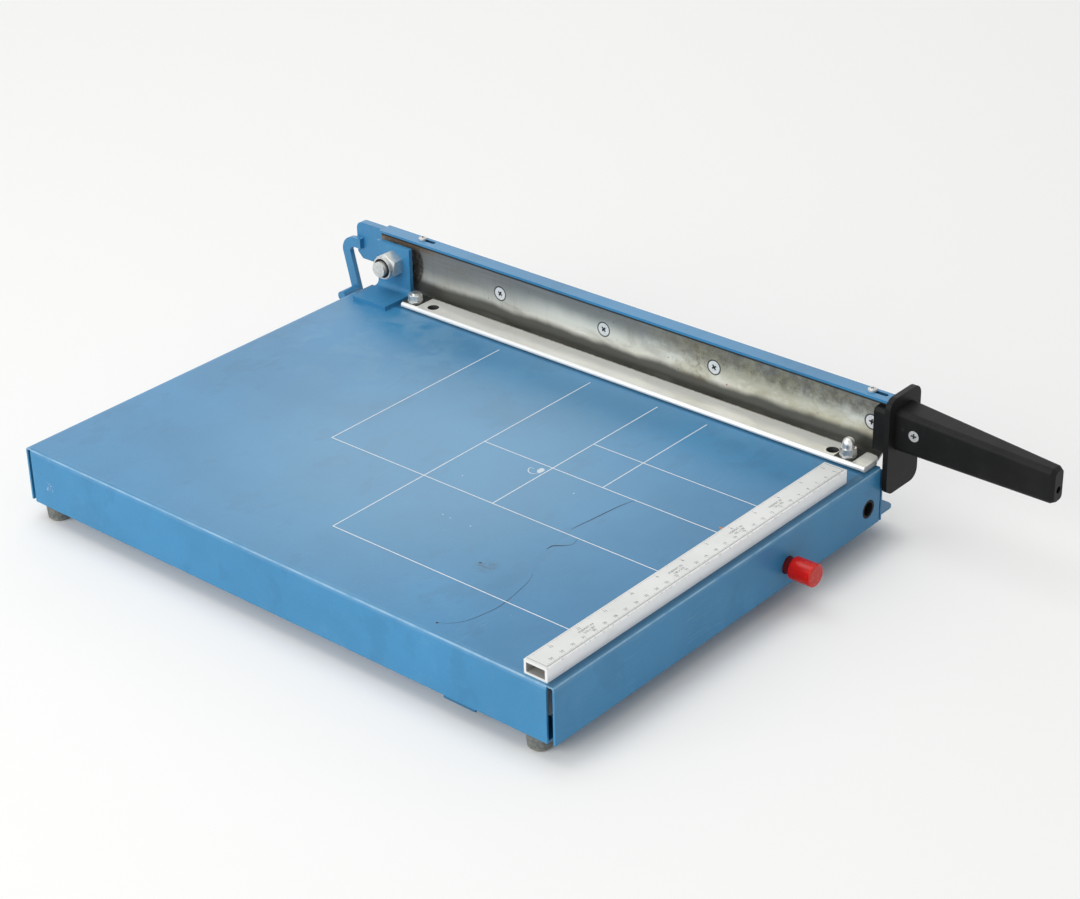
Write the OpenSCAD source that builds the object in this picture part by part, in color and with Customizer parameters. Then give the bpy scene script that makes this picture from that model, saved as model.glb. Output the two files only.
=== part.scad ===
// Lever paper cutter: folded table, hinged blade arm, lifting clamp strip and arm lock.
// Modelled with x = 0 on the cutting plane, y = 0 at the ruler's inner edge and z = 0 on the table top,
// then moved so that the origin is under the middle of the whole cutter.

/* [Table] */
// Width of the table between its side walls
table_w = 344; // [330:1:360]
// Length of the table from front wall to rear wall
table_l = 479; // [474:1:500]
// Height of the folded walls
wall_h = 41; // [40:1:48]
// Thickness of the sheet
sheet_t = 1.5; // [1.2:0.1:2]
// Outside radius of the top edges
bend_r = 2.5; // [2:0.5:4]
// Left wall's ends, set back beyond the bends
corner_slit = 3; // [2:0.5:5]
// Front and rear walls' left ends, set back from the left wall's face
corner_set = 1; // [0.5:0.5:2]
// Open slit at the right front corner
right_slit = 1.5; // [1:0.5:2.5]
// Width of the lip under the left, front and rear walls
lip_w = 22; // [21:1:26]
// Right wall to cutting plane
cut_gap = 8.5; // [8:0.5:9.5]
// Front wall to the ruler's inner edge
front_over = 24.5; // [23:0.5:28]
// Reach of the flange under the blade beyond the right wall
flange_w = 21; // [16:1:23]
// Front end of the flange behind the front wall
flange_front = 3.5; // [2:0.5:8]
// Corner radius of the flange
flange_r = 5; // [3:1:7]
// Length of the tab under the left wall
tab_l = 26; // [15:1:35]
// Tab to the front wall
tab_front = 62.5; // [50:1:90]
// Drop of the tab below the wall
tab_drop = 2; // [1:0.5:4]

/* [Feet] */
// Diameter of a foot
foot_d = 18; // [15:1:19]
// Height of a foot below the wall
foot_h = 14; // [12:1:20]
// Left feet to the left wall
foot_side = 11.5; // [10.5:0.5:13]
// Front feet to the front wall
foot_front = 21; // [20:1:40]
// Rear feet to the rear wall
foot_rear = 15; // [14:1:30]
// Right feet to the ends of the flange
foot_right = 45; // [30:1:80]

/* [Ruler] */
// Ruler end to the left wall
ruler_end = 2.5; // [1:0.5:30]
// Width of the ruler
ruler_w = 18; // [16:1:19]
// Height of the ruler
ruler_h = 10; // [8:1:14]
// Wall of the ruler tube
ruler_wall = 1.8; // [1.5:0.1:2.4]
// Ruler end to the cutting plane
ruler_gap = 43; // [40:1:60]

/* [Blades] */
// Thickness of the upper blade
blade_t = 3; // [2.6:0.2:3.4]
// Cutting edge below the table top with the arm down
edge_drop = 12; // [10:1:14]
// Height of the ground bevel
bevel_h = 8; // [5:1:10]
// Rear end of the upper blade behind the pivot
blade_tail = 20; // [18:1:24]
// Front end of the upper blade ahead of the ruler edge
blade_front = 19; // [18:1:20]
// Running gap between the blades
blade_gap = 0.1; // [0.05:0.05:0.2]
// Height of the fixed blade
fixed_h = 17.5; // [14:0.5:18]
// Front end of the fixed blade ahead of the ruler edge
fixed_front = 9; // [5:1:10]
// Rear end of the fixed blade ahead of the pivot
fixed_rear = 25; // [23:1:32]
// Height of the blade screws above the table
blade_screw_z = 25; // [23:0.5:28]
// Thread diameter of the blade screws
blade_screw_d = 5.5; // [5:0.5:6]
// Rearmost blade screw ahead of the pivot
blade_screw_rear = 101.5; // [90:0.5:105]
// Distance between the blade screws
blade_pitch = 100.3; // [90:0.1:104]

/* [Arm] */
// Thickness of the arm bar
arm_t = 6; // [5:0.5:7]
// Top of the arm bar above the table
arm_top = 43.7; // [42:0.1:46]
// Height of the arm bar
arm_h = 30.7; // [28:0.1:32]
// Tail of the arm behind the pivot
tail_l = 50; // [48:1:56]
// Radius of the tail's upper corner
tail_r = 6; // [4:1:9]
// Thickness of the cover strip
cover_t = 1.8; // [1.5:0.1:2.4]
// Width of the cover strip
cover_w = 12; // [11:0.5:14]
// Overhang of the cover strip past the blade
cover_over = 2.5; // [1.5:0.5:3.5]

/* [Pivot] */
// Pivot ahead of the rear wall
pivot_rear = 27.5; // [25.5:0.5:29.5]
// Pivot above the table
pivot_z = 25.5; // [24.5:0.5:27]
// Diameter of the pivot bolt
pivot_d = 12; // [10:0.5:12.5]
// Wall of the pivot bush
bush_wall = 2; // [1.5:0.5:3]
// Width of the pivot bracket
bracket_w = 34; // [30:1:36]
// Thickness of the pivot bracket
bracket_t = 3.5; // [3:0.5:5]
// Inside bend radius of the bracket
bracket_r = 4; // [3:0.5:5]
// Height of the bracket above the table
bracket_h = 40.5; // [39:0.5:42]
// Length of the bracket's foot
bracket_foot = 29; // [26:1:34]
// Bracket to cutting plane
bracket_gap = 5.5; // [4.5:0.5:6]
// Flat width of the pivot nut
nut_af = 19; // [17:1:21]
// Opening angle of the arm
open_angle = 45; // [30:1:45]

/* [Handle] */
// Width of the guard
guard_w = 37.5; // [34:0.5:42]
// Height of the guard
guard_h = 72; // [66:1:74]
// Lower end of the guard below the table top
guard_drop = 20; // [16:1:22]
// Thickness of the guard
guard_t = 4; // [3:0.5:5]
// Corner radius of the guard
guard_r = 8; // [5:1:10]
// Ferrule behind the guard
ferrule_l = 12; // [10:0.5:12]
// Width of the ferrule
ferrule_w = 27; // [26:0.5:29]
// Length of the grip from the guard to its tip
grip_l = 118; // [100:1:140]
// Width of the grip at the guard
grip_w = 23; // [22:0.5:26]
// Height of the grip at the guard
grip_h = 31; // [29:0.5:34]
// Width of the grip at its tip
tip_w = 13; // [11.5:0.5:18]
// Height of the grip at its tip
tip_h = 25; // [23:0.5:28]
// Drop of the grip from guard to tip
grip_drop = 6; // [0:0.5:8]
// Edge radius of the grip
grip_r = 4; // [3:0.5:5]
// Height of the tang in the grip
tang_h = 16; // [14:0.5:18]
// Length of the tang past the guard
tang_l = 80; // [60:1:90]

/* [Hook] */
// Width of the hook bar
hook_w = 8; // [7:0.5:9]
// Thickness of the hook bar
hook_t = 4; // [3:0.5:4.5]
// Outer side of the hook behind the tail's end
hook_out = 13; // [12.5:0.5:16]
// Hook bar's upper side above the pivot
hook_up = 5; // [4:0.5:7]
// Outer bend radius of the hook
hook_r = 12.5; // [10:0.5:12.5]
// Overlap of the hook bar on the tail
hook_root = 6.5; // [5:0.5:9]
// Cross pin behind the pivot
hook_pin_y = 51; // [50:0.5:53]
// Cross pin below the pivot
hook_pin_z = 40; // [39:0.5:42]
// Diameter of the cross pin
hook_pin_d = 8; // [7:0.5:8.5]
// Inner end of the cross pin, from the cutting plane
hook_pin_in = 17; // [14:0.5:18]

/* [Clamp] */
// Left side of the clamp strip, from the cutting plane
clamp_left = 25.5; // [24:0.5:28]
// Right side of the clamp strip, from the cutting plane
clamp_right = 4.5; // [4:0.5:6]
// Thickness of the clamp strip
clamp_t = 4; // [3.5:0.1:5]
// Radius of the strip's front outer corner
clamp_r = 6; // [3:0.5:8]
// Front end of the clamp strip ahead of the ruler edge
clamp_front = 19.5; // [16:0.5:21]
// Rear end of the clamp strip ahead of the pivot
clamp_rear = 22; // [20:0.5:25]
// Studs to the cutting plane
stud_x = 16.5; // [16:0.5:18]
// Diameter of the studs
stud_d = 6; // [5:0.5:6.5]
// Front stud ahead of the ruler edge
stud_front = 1; // [0:0.5:3]
// Rear stud ahead of the pivot
stud_rear = 29; // [28:0.5:31]
// Diameter of the two spare holes in the strip
spare_d = 9; // [6:0.5:10]
// Front spare hole behind the front stud
spare_front = 12.6; // [12.4:0.2:16]
// Rear spare hole ahead of the rear stud
spare_rear = 18.6; // [16:0.2:24]
// Depth of the dark pads
pad_l = 15; // [14:0.5:16]
// Thickness of the dark pads
pad_t = 0.6; // [0.4:0.1:1]
// Lift of the clamp with the arm fully open
clamp_lift = 6; // [4:0.5:6]
// Gap under the clamp strip at rest
clamp_gap = 0.15; // [0.1:0.05:0.5]
// Outer diameter of the clamp springs
spring_d = 11.5; // [10.5:0.5:12]
// Wire of the clamp springs
spring_wire = 1.2; // [1:0.1:1.5]
// Turns of a clamp spring
spring_turns = 6; // [4:1:7]
// Top of the lift plates below the table's underside
lift_drop = 22.5; // [21:0.5:24]
// Thickness of the lift plates
lift_t = 3; // [2.5:0.5:4]

/* [Crank] */
// Length of a crank's lifting arm
crank_arm = 22; // [20:0.5:23]
// Crank pins below the table top
crank_z = 20; // [18:0.5:21]
// Thickness of a crank
crank_t = 3; // [2.5:0.5:4]
// Diameter of the crank pins
crank_pin_d = 6; // [5:0.5:7]
// Diameter of the push pin
push_d = 8; // [7:0.5:8.5]
// Thickness of the tie rod
tie_t = 3; // [2:0.5:3.5]
// Height of the tie rod
tie_h = 12; // [11:0.5:13]

/* [Lock] */
// Knob to the cutting plane
knob_x = 117.4; // [110:0.2:130]
// Knob below the table top
knob_z = 26; // [25:0.5:27]
// Diameter of the knob
knob_d = 16; // [15:0.5:22]
// Length of the knob
knob_l = 17.5; // [14:0.5:24]
// Diameter of the knob's neck
neck_d = 12; // [11:0.5:13]
// Length of the neck outside the wall
neck_l = 4.8; // [4.8:0.2:8]
// Travel of the knob
knob_travel = 4.2; // [3:0.2:4.4]
// Diameter of the lock rod
lock_rod_d = 8; // [7:0.5:9]
// Lever behind the front wall
lever_y = 84.5; // [80:0.5:100]
// Lever post to the cutting plane
post_x = 62; // [55:1:70]
// Width of the lever
lever_w = 12; // [10.5:0.5:14]
// Thickness of the lever
lever_t = 3; // [2.5:0.5:3.4]
// Reach of the lever's nose past the cutting plane
nose_out = 8; // [6:0.5:9]
// Catch to nose with the lock open
catch_gap = 1.5; // [1:0.5:2]
// Width of the catch strap
catch_w = 14; // [12:1:20]
// Thickness of the catch strap
catch_t = 3; // [2.5:0.5:4]

/* [Gauge hole] */
// Hole to the cutting plane
gauge_x = 25; // [23:0.5:40]
// Hole below the table top
gauge_z = 25.7; // [24:0.1:27]
// Bore of the bush
gauge_d = 10; // [8:0.5:10.5]
// Outer diameter of the bush
gauge_od = 13.5; // [13:0.5:14]
// Length of the bush behind the front wall
gauge_l = 11; // [8:0.5:12]

/* [Hidden] */
$fn = 64;
// Fit of a fastener in its hole, per side
fit = 0.05;
// Running clearance of a pin in its bore, per side
run = 0.04;
// Gap between pieces that move past each other
clear = 0.4;
// Height of the low round screw heads
pan_h = 2.4;
// Colours
blue = [0.16, 0.4, 0.64];
steel = [0.62, 0.62, 0.6];
zinc = [0.78, 0.79, 0.8];
black = [0.07, 0.07, 0.07];

// Table walls and floor
left_x = -cut_gap - table_w;
right_x = -cut_gap;
front_y = -front_over;
rear_y = table_l - front_over;
wall_left = left_x + corner_set;
side_front = front_y + bend_r + corner_slit;
side_rear = rear_y - bend_r - corner_slit;
wall_right = right_x - sheet_t - right_slit;
ground_z = -wall_h - foot_h;
under_z = -sheet_t;
flange_z = -wall_h + sheet_t;
flange_x = right_x + flange_w;
// Arm stack across the cutting plane
arm_in = blade_gap + blade_t;
arm_out = arm_in + arm_t;
arm_low = arm_top - arm_h;
arm_x = (arm_in + arm_out) / 2;
pivot_y = rear_y - pivot_rear;
tail_y = pivot_y + tail_l;
bush_r = pivot_d / 2 + run + bush_wall;
blade_screw_front = 8;
blade_screws_y = [for (i = [0:2]) pivot_y - blade_screw_rear - i * blade_pitch, -blade_screw_front];
blade_head_r = blade_screw_d * 0.9;
blade_cone_h = blade_head_r - blade_screw_d / 2;
// Pivot bracket and bolt
bracket_x = -bracket_gap - bracket_t;
washer_t = 2;
washer_r = pivot_d;
nut_h = 10;
nut_collar_h = 3;
ring_t = 1.5;
ring_w = 1.7;
head_h = 7.5;
bolt_end = bracket_x - nut_h - nut_collar_h - 4;
bolt_head_x = arm_out + washer_t + 2 * fit;
bracket_screw_d = 6;
bracket_screw_in = 7;
bracket_screw_x = bracket_x - bracket_foot + bracket_screw_in;
bracket_head_af = 10;
bracket_head_h = 4;
// Handle stations
guard_back = front_y - 1.5;
guard_face = guard_back - guard_t;
tip_y = guard_face - grip_l;
grip_z = 27.5;
ferrule_low = 8;
ferrule_top = arm_top - 2.7;
cover_front = guard_back + clear;
cover_rear = pivot_y + blade_tail;
cover_screw_d = 3.5;
cover_screw_x = arm_in + cover_screw_d / 2 + 0.2;
cover_screw_l = 8;
cover_screws_y = [-4, pivot_y - 19];
cover_slot = 11;
handle_screw_in = 14;
handle_screw_y = guard_face - handle_screw_in;
handle_screw_d = 4;
handle_head_h = 2.2;
// Rotation of a point [y, z] in the sense that raises the arm
function swing(p, a) = [p[0] * cos(a) + p[1] * sin(a), p[1] * cos(a) - p[0] * sin(a)];
hook_pin = [pivot_y + hook_pin_y, pivot_z - hook_pin_z];
hook_open = swing([hook_pin_y, -hook_pin_z], open_angle) + [pivot_y, pivot_z];
hook_rear = tail_y + hook_out;
// Clamp stack, from the lift plates up to the nuts
studs_y = [-stud_front, pivot_y - stud_rear];
spares_y = [studs_y[0] + spare_front, studs_y[1] - spare_rear];
clamp_z = clamp_gap;
clamp_top = clamp_z + clamp_t;
pad_sunk = pad_t - 0.1;
pad_left = -clamp_left + clamp_t / 2 + 0.5;
pad_top = clamp_top + pad_t - pad_sunk;
stud_washer_t = 1.2;
stud_washer_r = stud_d;
stud_nut_h = 0.85 * stud_d;
cap_depth = 1.6 * stud_d;
stud_nut_af = stud_d + 4;
stud_seat = pad_top + stud_washer_t;
guide_r = stud_d / 2 + run + 1.5;
guide_flange_t = 1.5;
guide_z = -bend_r - guide_flange_t;
lift_z = under_z - lift_drop - lift_t;
stud_low = lift_z - stud_nut_h - 1.5;
// Cranks: the nose lifts a plate, the tie rod joins both cranks, the hook's pin turns the rear one
crank_x = -stud_x - spring_d / 2 - 1;
nose_r = 3;
nose_drop = crank_z + lift_z - 0.3 - nose_r;
turn_guess = asin(clamp_lift / crank_arm);
crank_turn = asin((clamp_lift + nose_drop * (1 - cos(turn_guess))) / crank_arm);
crank_hub_r = crank_pin_d / 2 + 3;
crank_knee = [-crank_arm / 2, nose_drop];
rear_crank_y = studs_y[1] + crank_arm;
push_open = hook_open - [hook_pin_d / 2 + push_d / 2 + clear, 0];
push_rel = swing(push_open - [rear_crank_y, -crank_z], -crank_turn);
tie_x = crank_x - crank_t - clear;
tie_pin_d = push_d - 2;
push_end = right_x + 2.5;
crank_web_x = crank_x + 2;
crank_web_t = 3;
lift_left = crank_x - crank_t - 1;
lift_right = -stud_x + stud_nut_af / 2 + 1;
lift_l = 14;
wall_rear = push_open[0] - push_d / 2 - 3;
rear_right = -hook_pin_in - 4;
rear_lip = tie_x - tie_t - 4;
// Lock: knob, rod, lever and catch
rod_r = lock_rod_d / 2;
knob_cap = 4;
lever_z = -knob_z + rod_r + 0.5;
lever_cy = front_y + lever_y;
collar_y = front_y + sheet_t + 0.2;
collar_t = 4;
lock_spring_l = 38;
lock_turns = 9;
guide_y = collar_y + collar_t + lock_spring_l;
guide_t = 3;
guide_foot = 18;
drive_d = 5;
rod_end = lever_cy + 4.5;
post_d = 8;
catch_y = lever_cy - lever_w / 2 - catch_gap - catch_w;
catch_top = lever_z - 1;
catch_screw_d = 4;
catch_up = 24;
catch_mid_y = catch_y + catch_w / 2;
catch_screws_z = [arm_low + 6, arm_low + 18];
nose_sweep = knob_travel * (post_x + nose_out) / (knob_x - post_x);
// Ruler and fixed blade
ruler_l = table_w + cut_gap - ruler_gap - ruler_end;
ruler_screw_d = 4;
ruler_screw_in = 30;
ruler_screws_x = [-ruler_gap - ruler_screw_in, -ruler_gap - ruler_l + ruler_screw_in];
ruler_mid_y = -ruler_w / 2;
fixed_end = pivot_y - fixed_rear;
fixed_screw_d = 5;
fixed_screw_in = 40;
fixed_screws_y = [for (i = [0:3])
    fixed_screw_in - fixed_front + i * (fixed_end + fixed_front - 2 * fixed_screw_in) / 3];
fixed_screw_z = -fixed_h / 2 - 1;
fixed_screw_end = -blade_gap - 3;
fixed_head_af = 8;
fixed_head_h = 3.5;
// Feet
right_foot_x = (right_x + flange_x) / 2;
foot_places = [[left_x + foot_side, front_y + foot_front], [left_x + foot_side, rear_y - foot_rear],
    [right_foot_x, front_y + flange_front + foot_right], [right_foot_x, wall_rear - foot_right]];
foot_screw_d = 4;
// Middle of the whole cutter, which becomes the origin
mid_x = (left_x + arm_x + guard_w / 2) / 2;
mid_y = (tip_y + hook_rear) / 2;

// Draws a profile given in [y, z] as a plate from x0 to x1
module yz(x0, x1) {
    translate([x0, 0, 0]) rotate([90, 0, 90]) linear_extrude(x1 - x0) children();
}

// Draws a profile given in [x, z] as a bar from y0 to y1
module xz(y0, y1) {
    translate([0, y1, 0]) rotate([90, 0, 0]) linear_extrude(y1 - y0) children();
}

// Round bar along x
module bar_x(x0, x1, y, z, r) {
    translate([x0, y, z]) rotate([0, 90, 0]) cylinder(r = r, h = x1 - x0);
}

// Round bar along y
module bar_y(y0, y1, x, z, r) {
    translate([x, y0, z]) rotate([-90, 0, 0]) cylinder(r = r, h = y1 - y0);
}

// Round bar along z
module bar_z(z0, z1, x, y, r) {
    translate([x, y, z0]) cylinder(r = r, h = z1 - z0);
}

// Block between two corners
module block(a, b) {
    translate(a) cube(b - a);
}

// Flat bar with round ends between two points
module link(p, q, r) {
    d = q - p;
    translate(p) circle(r);
    translate(q) circle(r);
    translate(p) rotate(atan2(d[1], d[0])) translate([0, -r]) square([norm(d), 2 * r]);
}

// Rectangle from a to b with round corners
module round_rect(a, b, r) {
    translate([a[0] + r, a[1]]) square([b[0] - a[0] - 2 * r, b[1] - a[1]]);
    translate([a[0], a[1] + r]) square([b[0] - a[0], b[1] - a[1] - 2 * r]);
    for (x = [a[0] + r, b[0] - r], y = [a[1] + r, b[1] - r]) translate([x, y]) circle(r);
}

// Hexagon of a given width across its flats
module hex(af) {
    circle(d = af / cos(30), $fn = 6);
}

// Coil of round wire standing on z = 0, with its ends on the seats
module coil(outer_d, wire, turns, height) {
    r = (outer_d - wire) / 2;
    sides = 6;
    rings = 8 * turns;
    step = (height - wire) / rings;
    points = [for (i = [0:rings], k = [0:sides - 1])
        let (a = 360 * i / 8, b = 360 * k / sides, q = r + wire / 2 * cos(b))
        [q * cos(a), q * sin(a), wire / 2 + i * step + wire / 2 * sin(b)]];
    side_faces = [for (i = [0:rings - 1], k = [0:sides - 1])
        let (a = i * sides + k, b = i * sides + (k + 1) % sides)
        each [[a, b, b + sides], [a, b + sides, a + sides]]];
    start_cap = [for (k = [1:sides - 2]) [0, k + 1, k]];
    last = rings * sides;
    end_cap = [for (k = [1:sides - 2]) [last, last + k, last + k + 1]];
    echo("least gap between turns", 8 * step - wire);
    polyhedron(points, concat(side_faces, start_cap, end_cap));
}

// Wall of a folded edge below its bend, in [distance from the outer face, z], with a lip if wanted
module wall(lip) {
    translate([0, -wall_h]) square([sheet_t, wall_h - bend_r]);
    translate([0, -wall_h]) square([max(lip, sheet_t), sheet_t]);
}

// Quarter-round bend between the table top and a wall
module bend() {
    translate([bend_r, -sheet_t]) square([1, sheet_t]);
    translate([bend_r, -bend_r]) intersection() {
        difference() {
            circle(bend_r);
            circle(bend_r - sheet_t);
        }
        translate([-bend_r, 0]) square(bend_r);
    }
}

// Top sheet with its four bends
module table_top() {
    color(blue) difference() {
        union() {
            block([left_x + bend_r, front_y + bend_r, under_z], [right_x - bend_r, rear_y - bend_r, 0]);
            block([right_x - bend_r - 1, wall_rear, under_z], [right_x, rear_y - bend_r, 0]);
            block([wall_left, front_y + bend_r, under_z], [left_x + bend_r + 1, side_front, 0]);
            block([wall_left, side_rear, under_z], [left_x + bend_r + 1, rear_y - bend_r, 0]);
            xz(side_front, side_rear) translate([left_x, 0]) bend();
            xz(front_y + bend_r, wall_rear) translate([right_x, 0]) mirror([1, 0]) bend();
            yz(wall_left, wall_right) translate([front_y, 0]) bend();
            yz(wall_left, rear_right) translate([rear_y, 0]) mirror([1, 0]) bend();
        }
        table_holes();
    }
}

// Left wall with its lip and the small tab below it
module left_wall() {
    color(blue) difference() {
        union() {
            xz(side_front, side_rear) translate([left_x, 0]) wall(lip_w);
            block([left_x, front_y + tab_front, -wall_h - tab_drop],
                [left_x + sheet_t, front_y + tab_front + tab_l, -wall_h + sheet_t]);
        }
        table_holes();
    }
}

module front_wall() {
    color(blue) difference() {
        union() {
            yz(wall_left, wall_right) translate([front_y, 0]) wall(0);
            yz(left_x + lip_w + 1, wall_right) translate([front_y, 0]) wall(lip_w);
        }
        table_holes();
    }
}

module rear_wall() {
    color(blue) {
        yz(wall_left, rear_right) translate([rear_y, 0]) mirror([1, 0]) wall(0);
        yz(left_x + lip_w + 1, rear_lip) translate([rear_y, 0]) mirror([1, 0]) wall(lip_w);
    }
}

// Right wall with the flange below the blade and the slot for the lock lever
module right_wall() {
    color(blue) difference() {
        union() {
            xz(front_y, wall_rear) translate([right_x, 0]) mirror([1, 0]) wall(0);
            side_flange();
        }
        table_holes();
    }
}

// Flange that runs under the blade, with rounded outer corners
module side_flange() {
    y0 = front_y + flange_front;
    translate([0, 0, -wall_h]) linear_extrude(sheet_t) {
        round_rect([right_x - sheet_t, y0], [flange_x, wall_rear], flange_r);
        translate([right_x - sheet_t, y0]) square([flange_w / 2, wall_rear - y0]);
    }
}

module table_holes() {
    bar_y(front_y - 1, front_y + sheet_t + 1, -gauge_x, -gauge_z, gauge_od / 2 + fit);
    bar_y(front_y - 1, front_y + sheet_t + 1, -knob_x, -knob_z, neck_d / 2 + clear);
    for (y = studs_y) bar_z(under_z - 1, 1, -stud_x, y, guide_r + fit);
    for (y = spares_y) bar_z(under_z - 1, 1, -stud_x, y, spare_d / 2);
    for (x = ruler_screws_x) bar_z(under_z - 1, 1, x, ruler_mid_y, ruler_screw_d / 2 + fit);
    for (y = bracket_screws_y()) bar_z(under_z - 1, 1, bracket_screw_x, y, bracket_screw_d / 2 + fit);
    for (y = fixed_screws_y)
        bar_x(right_x - sheet_t - 1, right_x + 1, y, fixed_screw_z, fixed_screw_d / 2 + fit);
    for (p = foot_places) bar_z(-wall_h - 1, flange_z + 1, p[0], p[1], foot_screw_d / 2 + fit);
    block([right_x - sheet_t - 1, lever_cy - lever_w / 2 - nose_sweep - 1, lever_z - 1],
        [right_x + 1, lever_cy + lever_w / 2 + 1.5, lever_z + lever_t + 0.6]);
}

function bracket_screws_y() =
    [for (s = [-1, 1]) pivot_y + s * (bracket_w / 2 - bracket_screw_in)];

module fixed_blade() {
    color(steel) difference() {
        block([right_x, -fixed_front, -fixed_h], [-blade_gap, fixed_end, 0]);
        for (y = fixed_screws_y)
            bar_x(right_x - 1, fixed_screw_end + 1, y, fixed_screw_z, fixed_screw_d / 2 + fit);
    }
}

module fixed_blade_screws() {
    head_x = right_x - sheet_t;
    color(zinc) for (y = fixed_screws_y) {
        bar_x(head_x - 0.01, fixed_screw_end, y, fixed_screw_z, fixed_screw_d / 2);
        translate([head_x, y, fixed_screw_z]) rotate([0, -90, 0])
            linear_extrude(fixed_head_h) hex(fixed_head_af);
    }
}

module pivot_bracket() {
    r = bracket_r + bracket_t;
    y0 = pivot_y - bracket_w / 2;
    y1 = pivot_y + bracket_w / 2;
    outer_x = -bracket_gap;
    color(blue) difference() {
        xz(y0, y1) {
            translate([outer_x - bracket_t, r]) square([bracket_t, bracket_h - r]);
            translate([bracket_x - bracket_foot, 0]) square([bracket_foot + bracket_t - r, bracket_t]);
            translate([outer_x - r, r]) intersection() {
                difference() {
                    circle(r);
                    circle(bracket_r);
                }
                translate([0, -r]) square(r);
            }
        }
        bar_x(bracket_x - 1, outer_x + 1, pivot_y, pivot_z, pivot_d / 2 + fit);
        for (y = bracket_screws_y()) bar_z(-1, bracket_t - 1, bracket_screw_x, y, bracket_screw_d / 2 + fit);
    }
}

module bracket_screws() {
    color(zinc) for (y = bracket_screws_y()) {
        bar_z(under_z - 0.01, bracket_t - 1.5, bracket_screw_x, y, bracket_screw_d / 2);
        translate([bracket_screw_x, y, under_z - bracket_head_h])
            linear_extrude(bracket_head_h) hex(bracket_head_af);
    }
}

module pivot_bolt() {
    color(zinc) {
        bar_x(bolt_end, bolt_head_x + 0.01, pivot_y, pivot_z, pivot_d / 2);
        translate([bolt_head_x, pivot_y, pivot_z]) rotate([0, 90, 0]) hex_nut(nut_af, head_h, 0);
    }
}

module pivot_nut() {
    collar_x = bracket_x - nut_h - nut_collar_h;
    color(zinc) difference() {
        union() {
            translate([bracket_x, pivot_y, pivot_z]) rotate([0, -90, 0]) hex_nut(nut_af, nut_h, 0);
            bar_x(collar_x, bracket_x - nut_h + 0.01, pivot_y, pivot_z, nut_af / 2 - 0.6);
        }
        bar_x(collar_x - 1, bracket_x + 1, pivot_y, pivot_z, pivot_d / 2 + fit);
        bar_x(collar_x - 1, collar_x + ring_t, pivot_y, pivot_z, pivot_d / 2 + ring_w + fit);
    }
}

module nut_ring() {
    collar_x = bracket_x - nut_h - nut_collar_h;
    color(black) difference() {
        bar_x(collar_x + 0.3, collar_x + ring_t, pivot_y, pivot_z, pivot_d / 2 + ring_w);
        bar_x(collar_x, collar_x + ring_t + 1, pivot_y, pivot_z, pivot_d / 2 + fit);
    }
}

// Spacer between bracket and blade, and the washer under the bolt's head
module pivot_washers() {
    color(zinc) for (x = [[-bracket_gap, 0], [arm_out + fit, arm_out + fit + washer_t]]) difference() {
        bar_x(x[0], x[1], pivot_y, pivot_z, washer_r);
        bar_x(x[0] - 1, x[1] + 1, pivot_y, pivot_z, pivot_d / 2 + fit);
    }
}

module ruler() {
    color([0.93, 0.93, 0.92]) difference() {
        block([-ruler_gap - ruler_l, -ruler_w, 0], [-ruler_gap, 0, ruler_h]);
        block([-ruler_gap - ruler_l - 1, -ruler_w + ruler_wall, ruler_wall],
            [-ruler_gap + 1, -ruler_wall, ruler_h - ruler_wall]);
        for (x = ruler_screws_x) bar_z(-1, ruler_wall + 1, x, ruler_mid_y, ruler_screw_d / 2 + fit);
    }
}

module ruler_screws() {
    color(zinc) for (x = ruler_screws_x) {
        bar_z(under_z - 0.01, ruler_wall + 2, x, ruler_mid_y, ruler_screw_d / 2);
        bar_z(under_z - pan_h, under_z, x, ruler_mid_y, ruler_screw_d);
    }
}

// Rubber foot with a counterbore for its screw
module foot(p) {
    r = foot_d / 2;
    color([0.5, 0.5, 0.48]) translate([p[0], p[1], ground_z]) rotate_extrude() polygon([
        [foot_screw_d + 1, 0], [r - 2.5, 0], [r - 1, 1.5], [r, foot_h], [foot_screw_d / 2 + fit, foot_h],
        [foot_screw_d / 2 + fit, foot_h / 2], [foot_screw_d + 1, foot_h / 2]]);
}

module foot_screws() {
    color(zinc) for (p = foot_places) {
        bar_z(ground_z + foot_h / 2 - 0.01, flange_z + 3, p[0], p[1], foot_screw_d / 2);
        bar_z(ground_z + foot_h / 2 - pan_h, ground_z + foot_h / 2, p[0], p[1], foot_screw_d);
    }
}

module gauge_bush() {
    color(black) difference() {
        union() {
            bar_y(front_y, front_y + sheet_t + gauge_l, -gauge_x, -gauge_z, gauge_od / 2);
            bar_y(front_y + sheet_t + fit, front_y + sheet_t + 3, -gauge_x, -gauge_z, gauge_od / 2 + 2);
        }
        bar_y(front_y - 1, front_y + sheet_t + gauge_l + 1, -gauge_x, -gauge_z, gauge_d / 2);
    }
}

// Flanged bushes that guide the clamp studs through the table
module stud_guides() {
    color(black) for (y = studs_y) difference() {
        union() {
            bar_z(guide_z, -0.1, -stud_x, y, guide_r);
            bar_z(guide_z, guide_z + guide_flange_t, -stud_x, y, spring_d / 2);
        }
        bar_z(guide_z - 1, 1, -stud_x, y, stud_d / 2 + run);
    }
}

// Angles under the table that carry the crank pins
module crank_brackets() {
    half = crank_hub_r + 1;
    color(blue) for (y = studs_y + [crank_arm, crank_arm]) difference() {
        union() {
            block([crank_web_x, y - half, -crank_z - half], [crank_web_x + crank_web_t, y + half, under_z]);
            block([crank_web_x, y - half, under_z - crank_web_t],
                [right_x - bend_r - clear, y + half, under_z]);
        }
        bar_x(crank_web_x - 1, crank_web_x + crank_web_t + 1, y, -crank_z, crank_pin_d / 2 + fit);
    }
}

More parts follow.
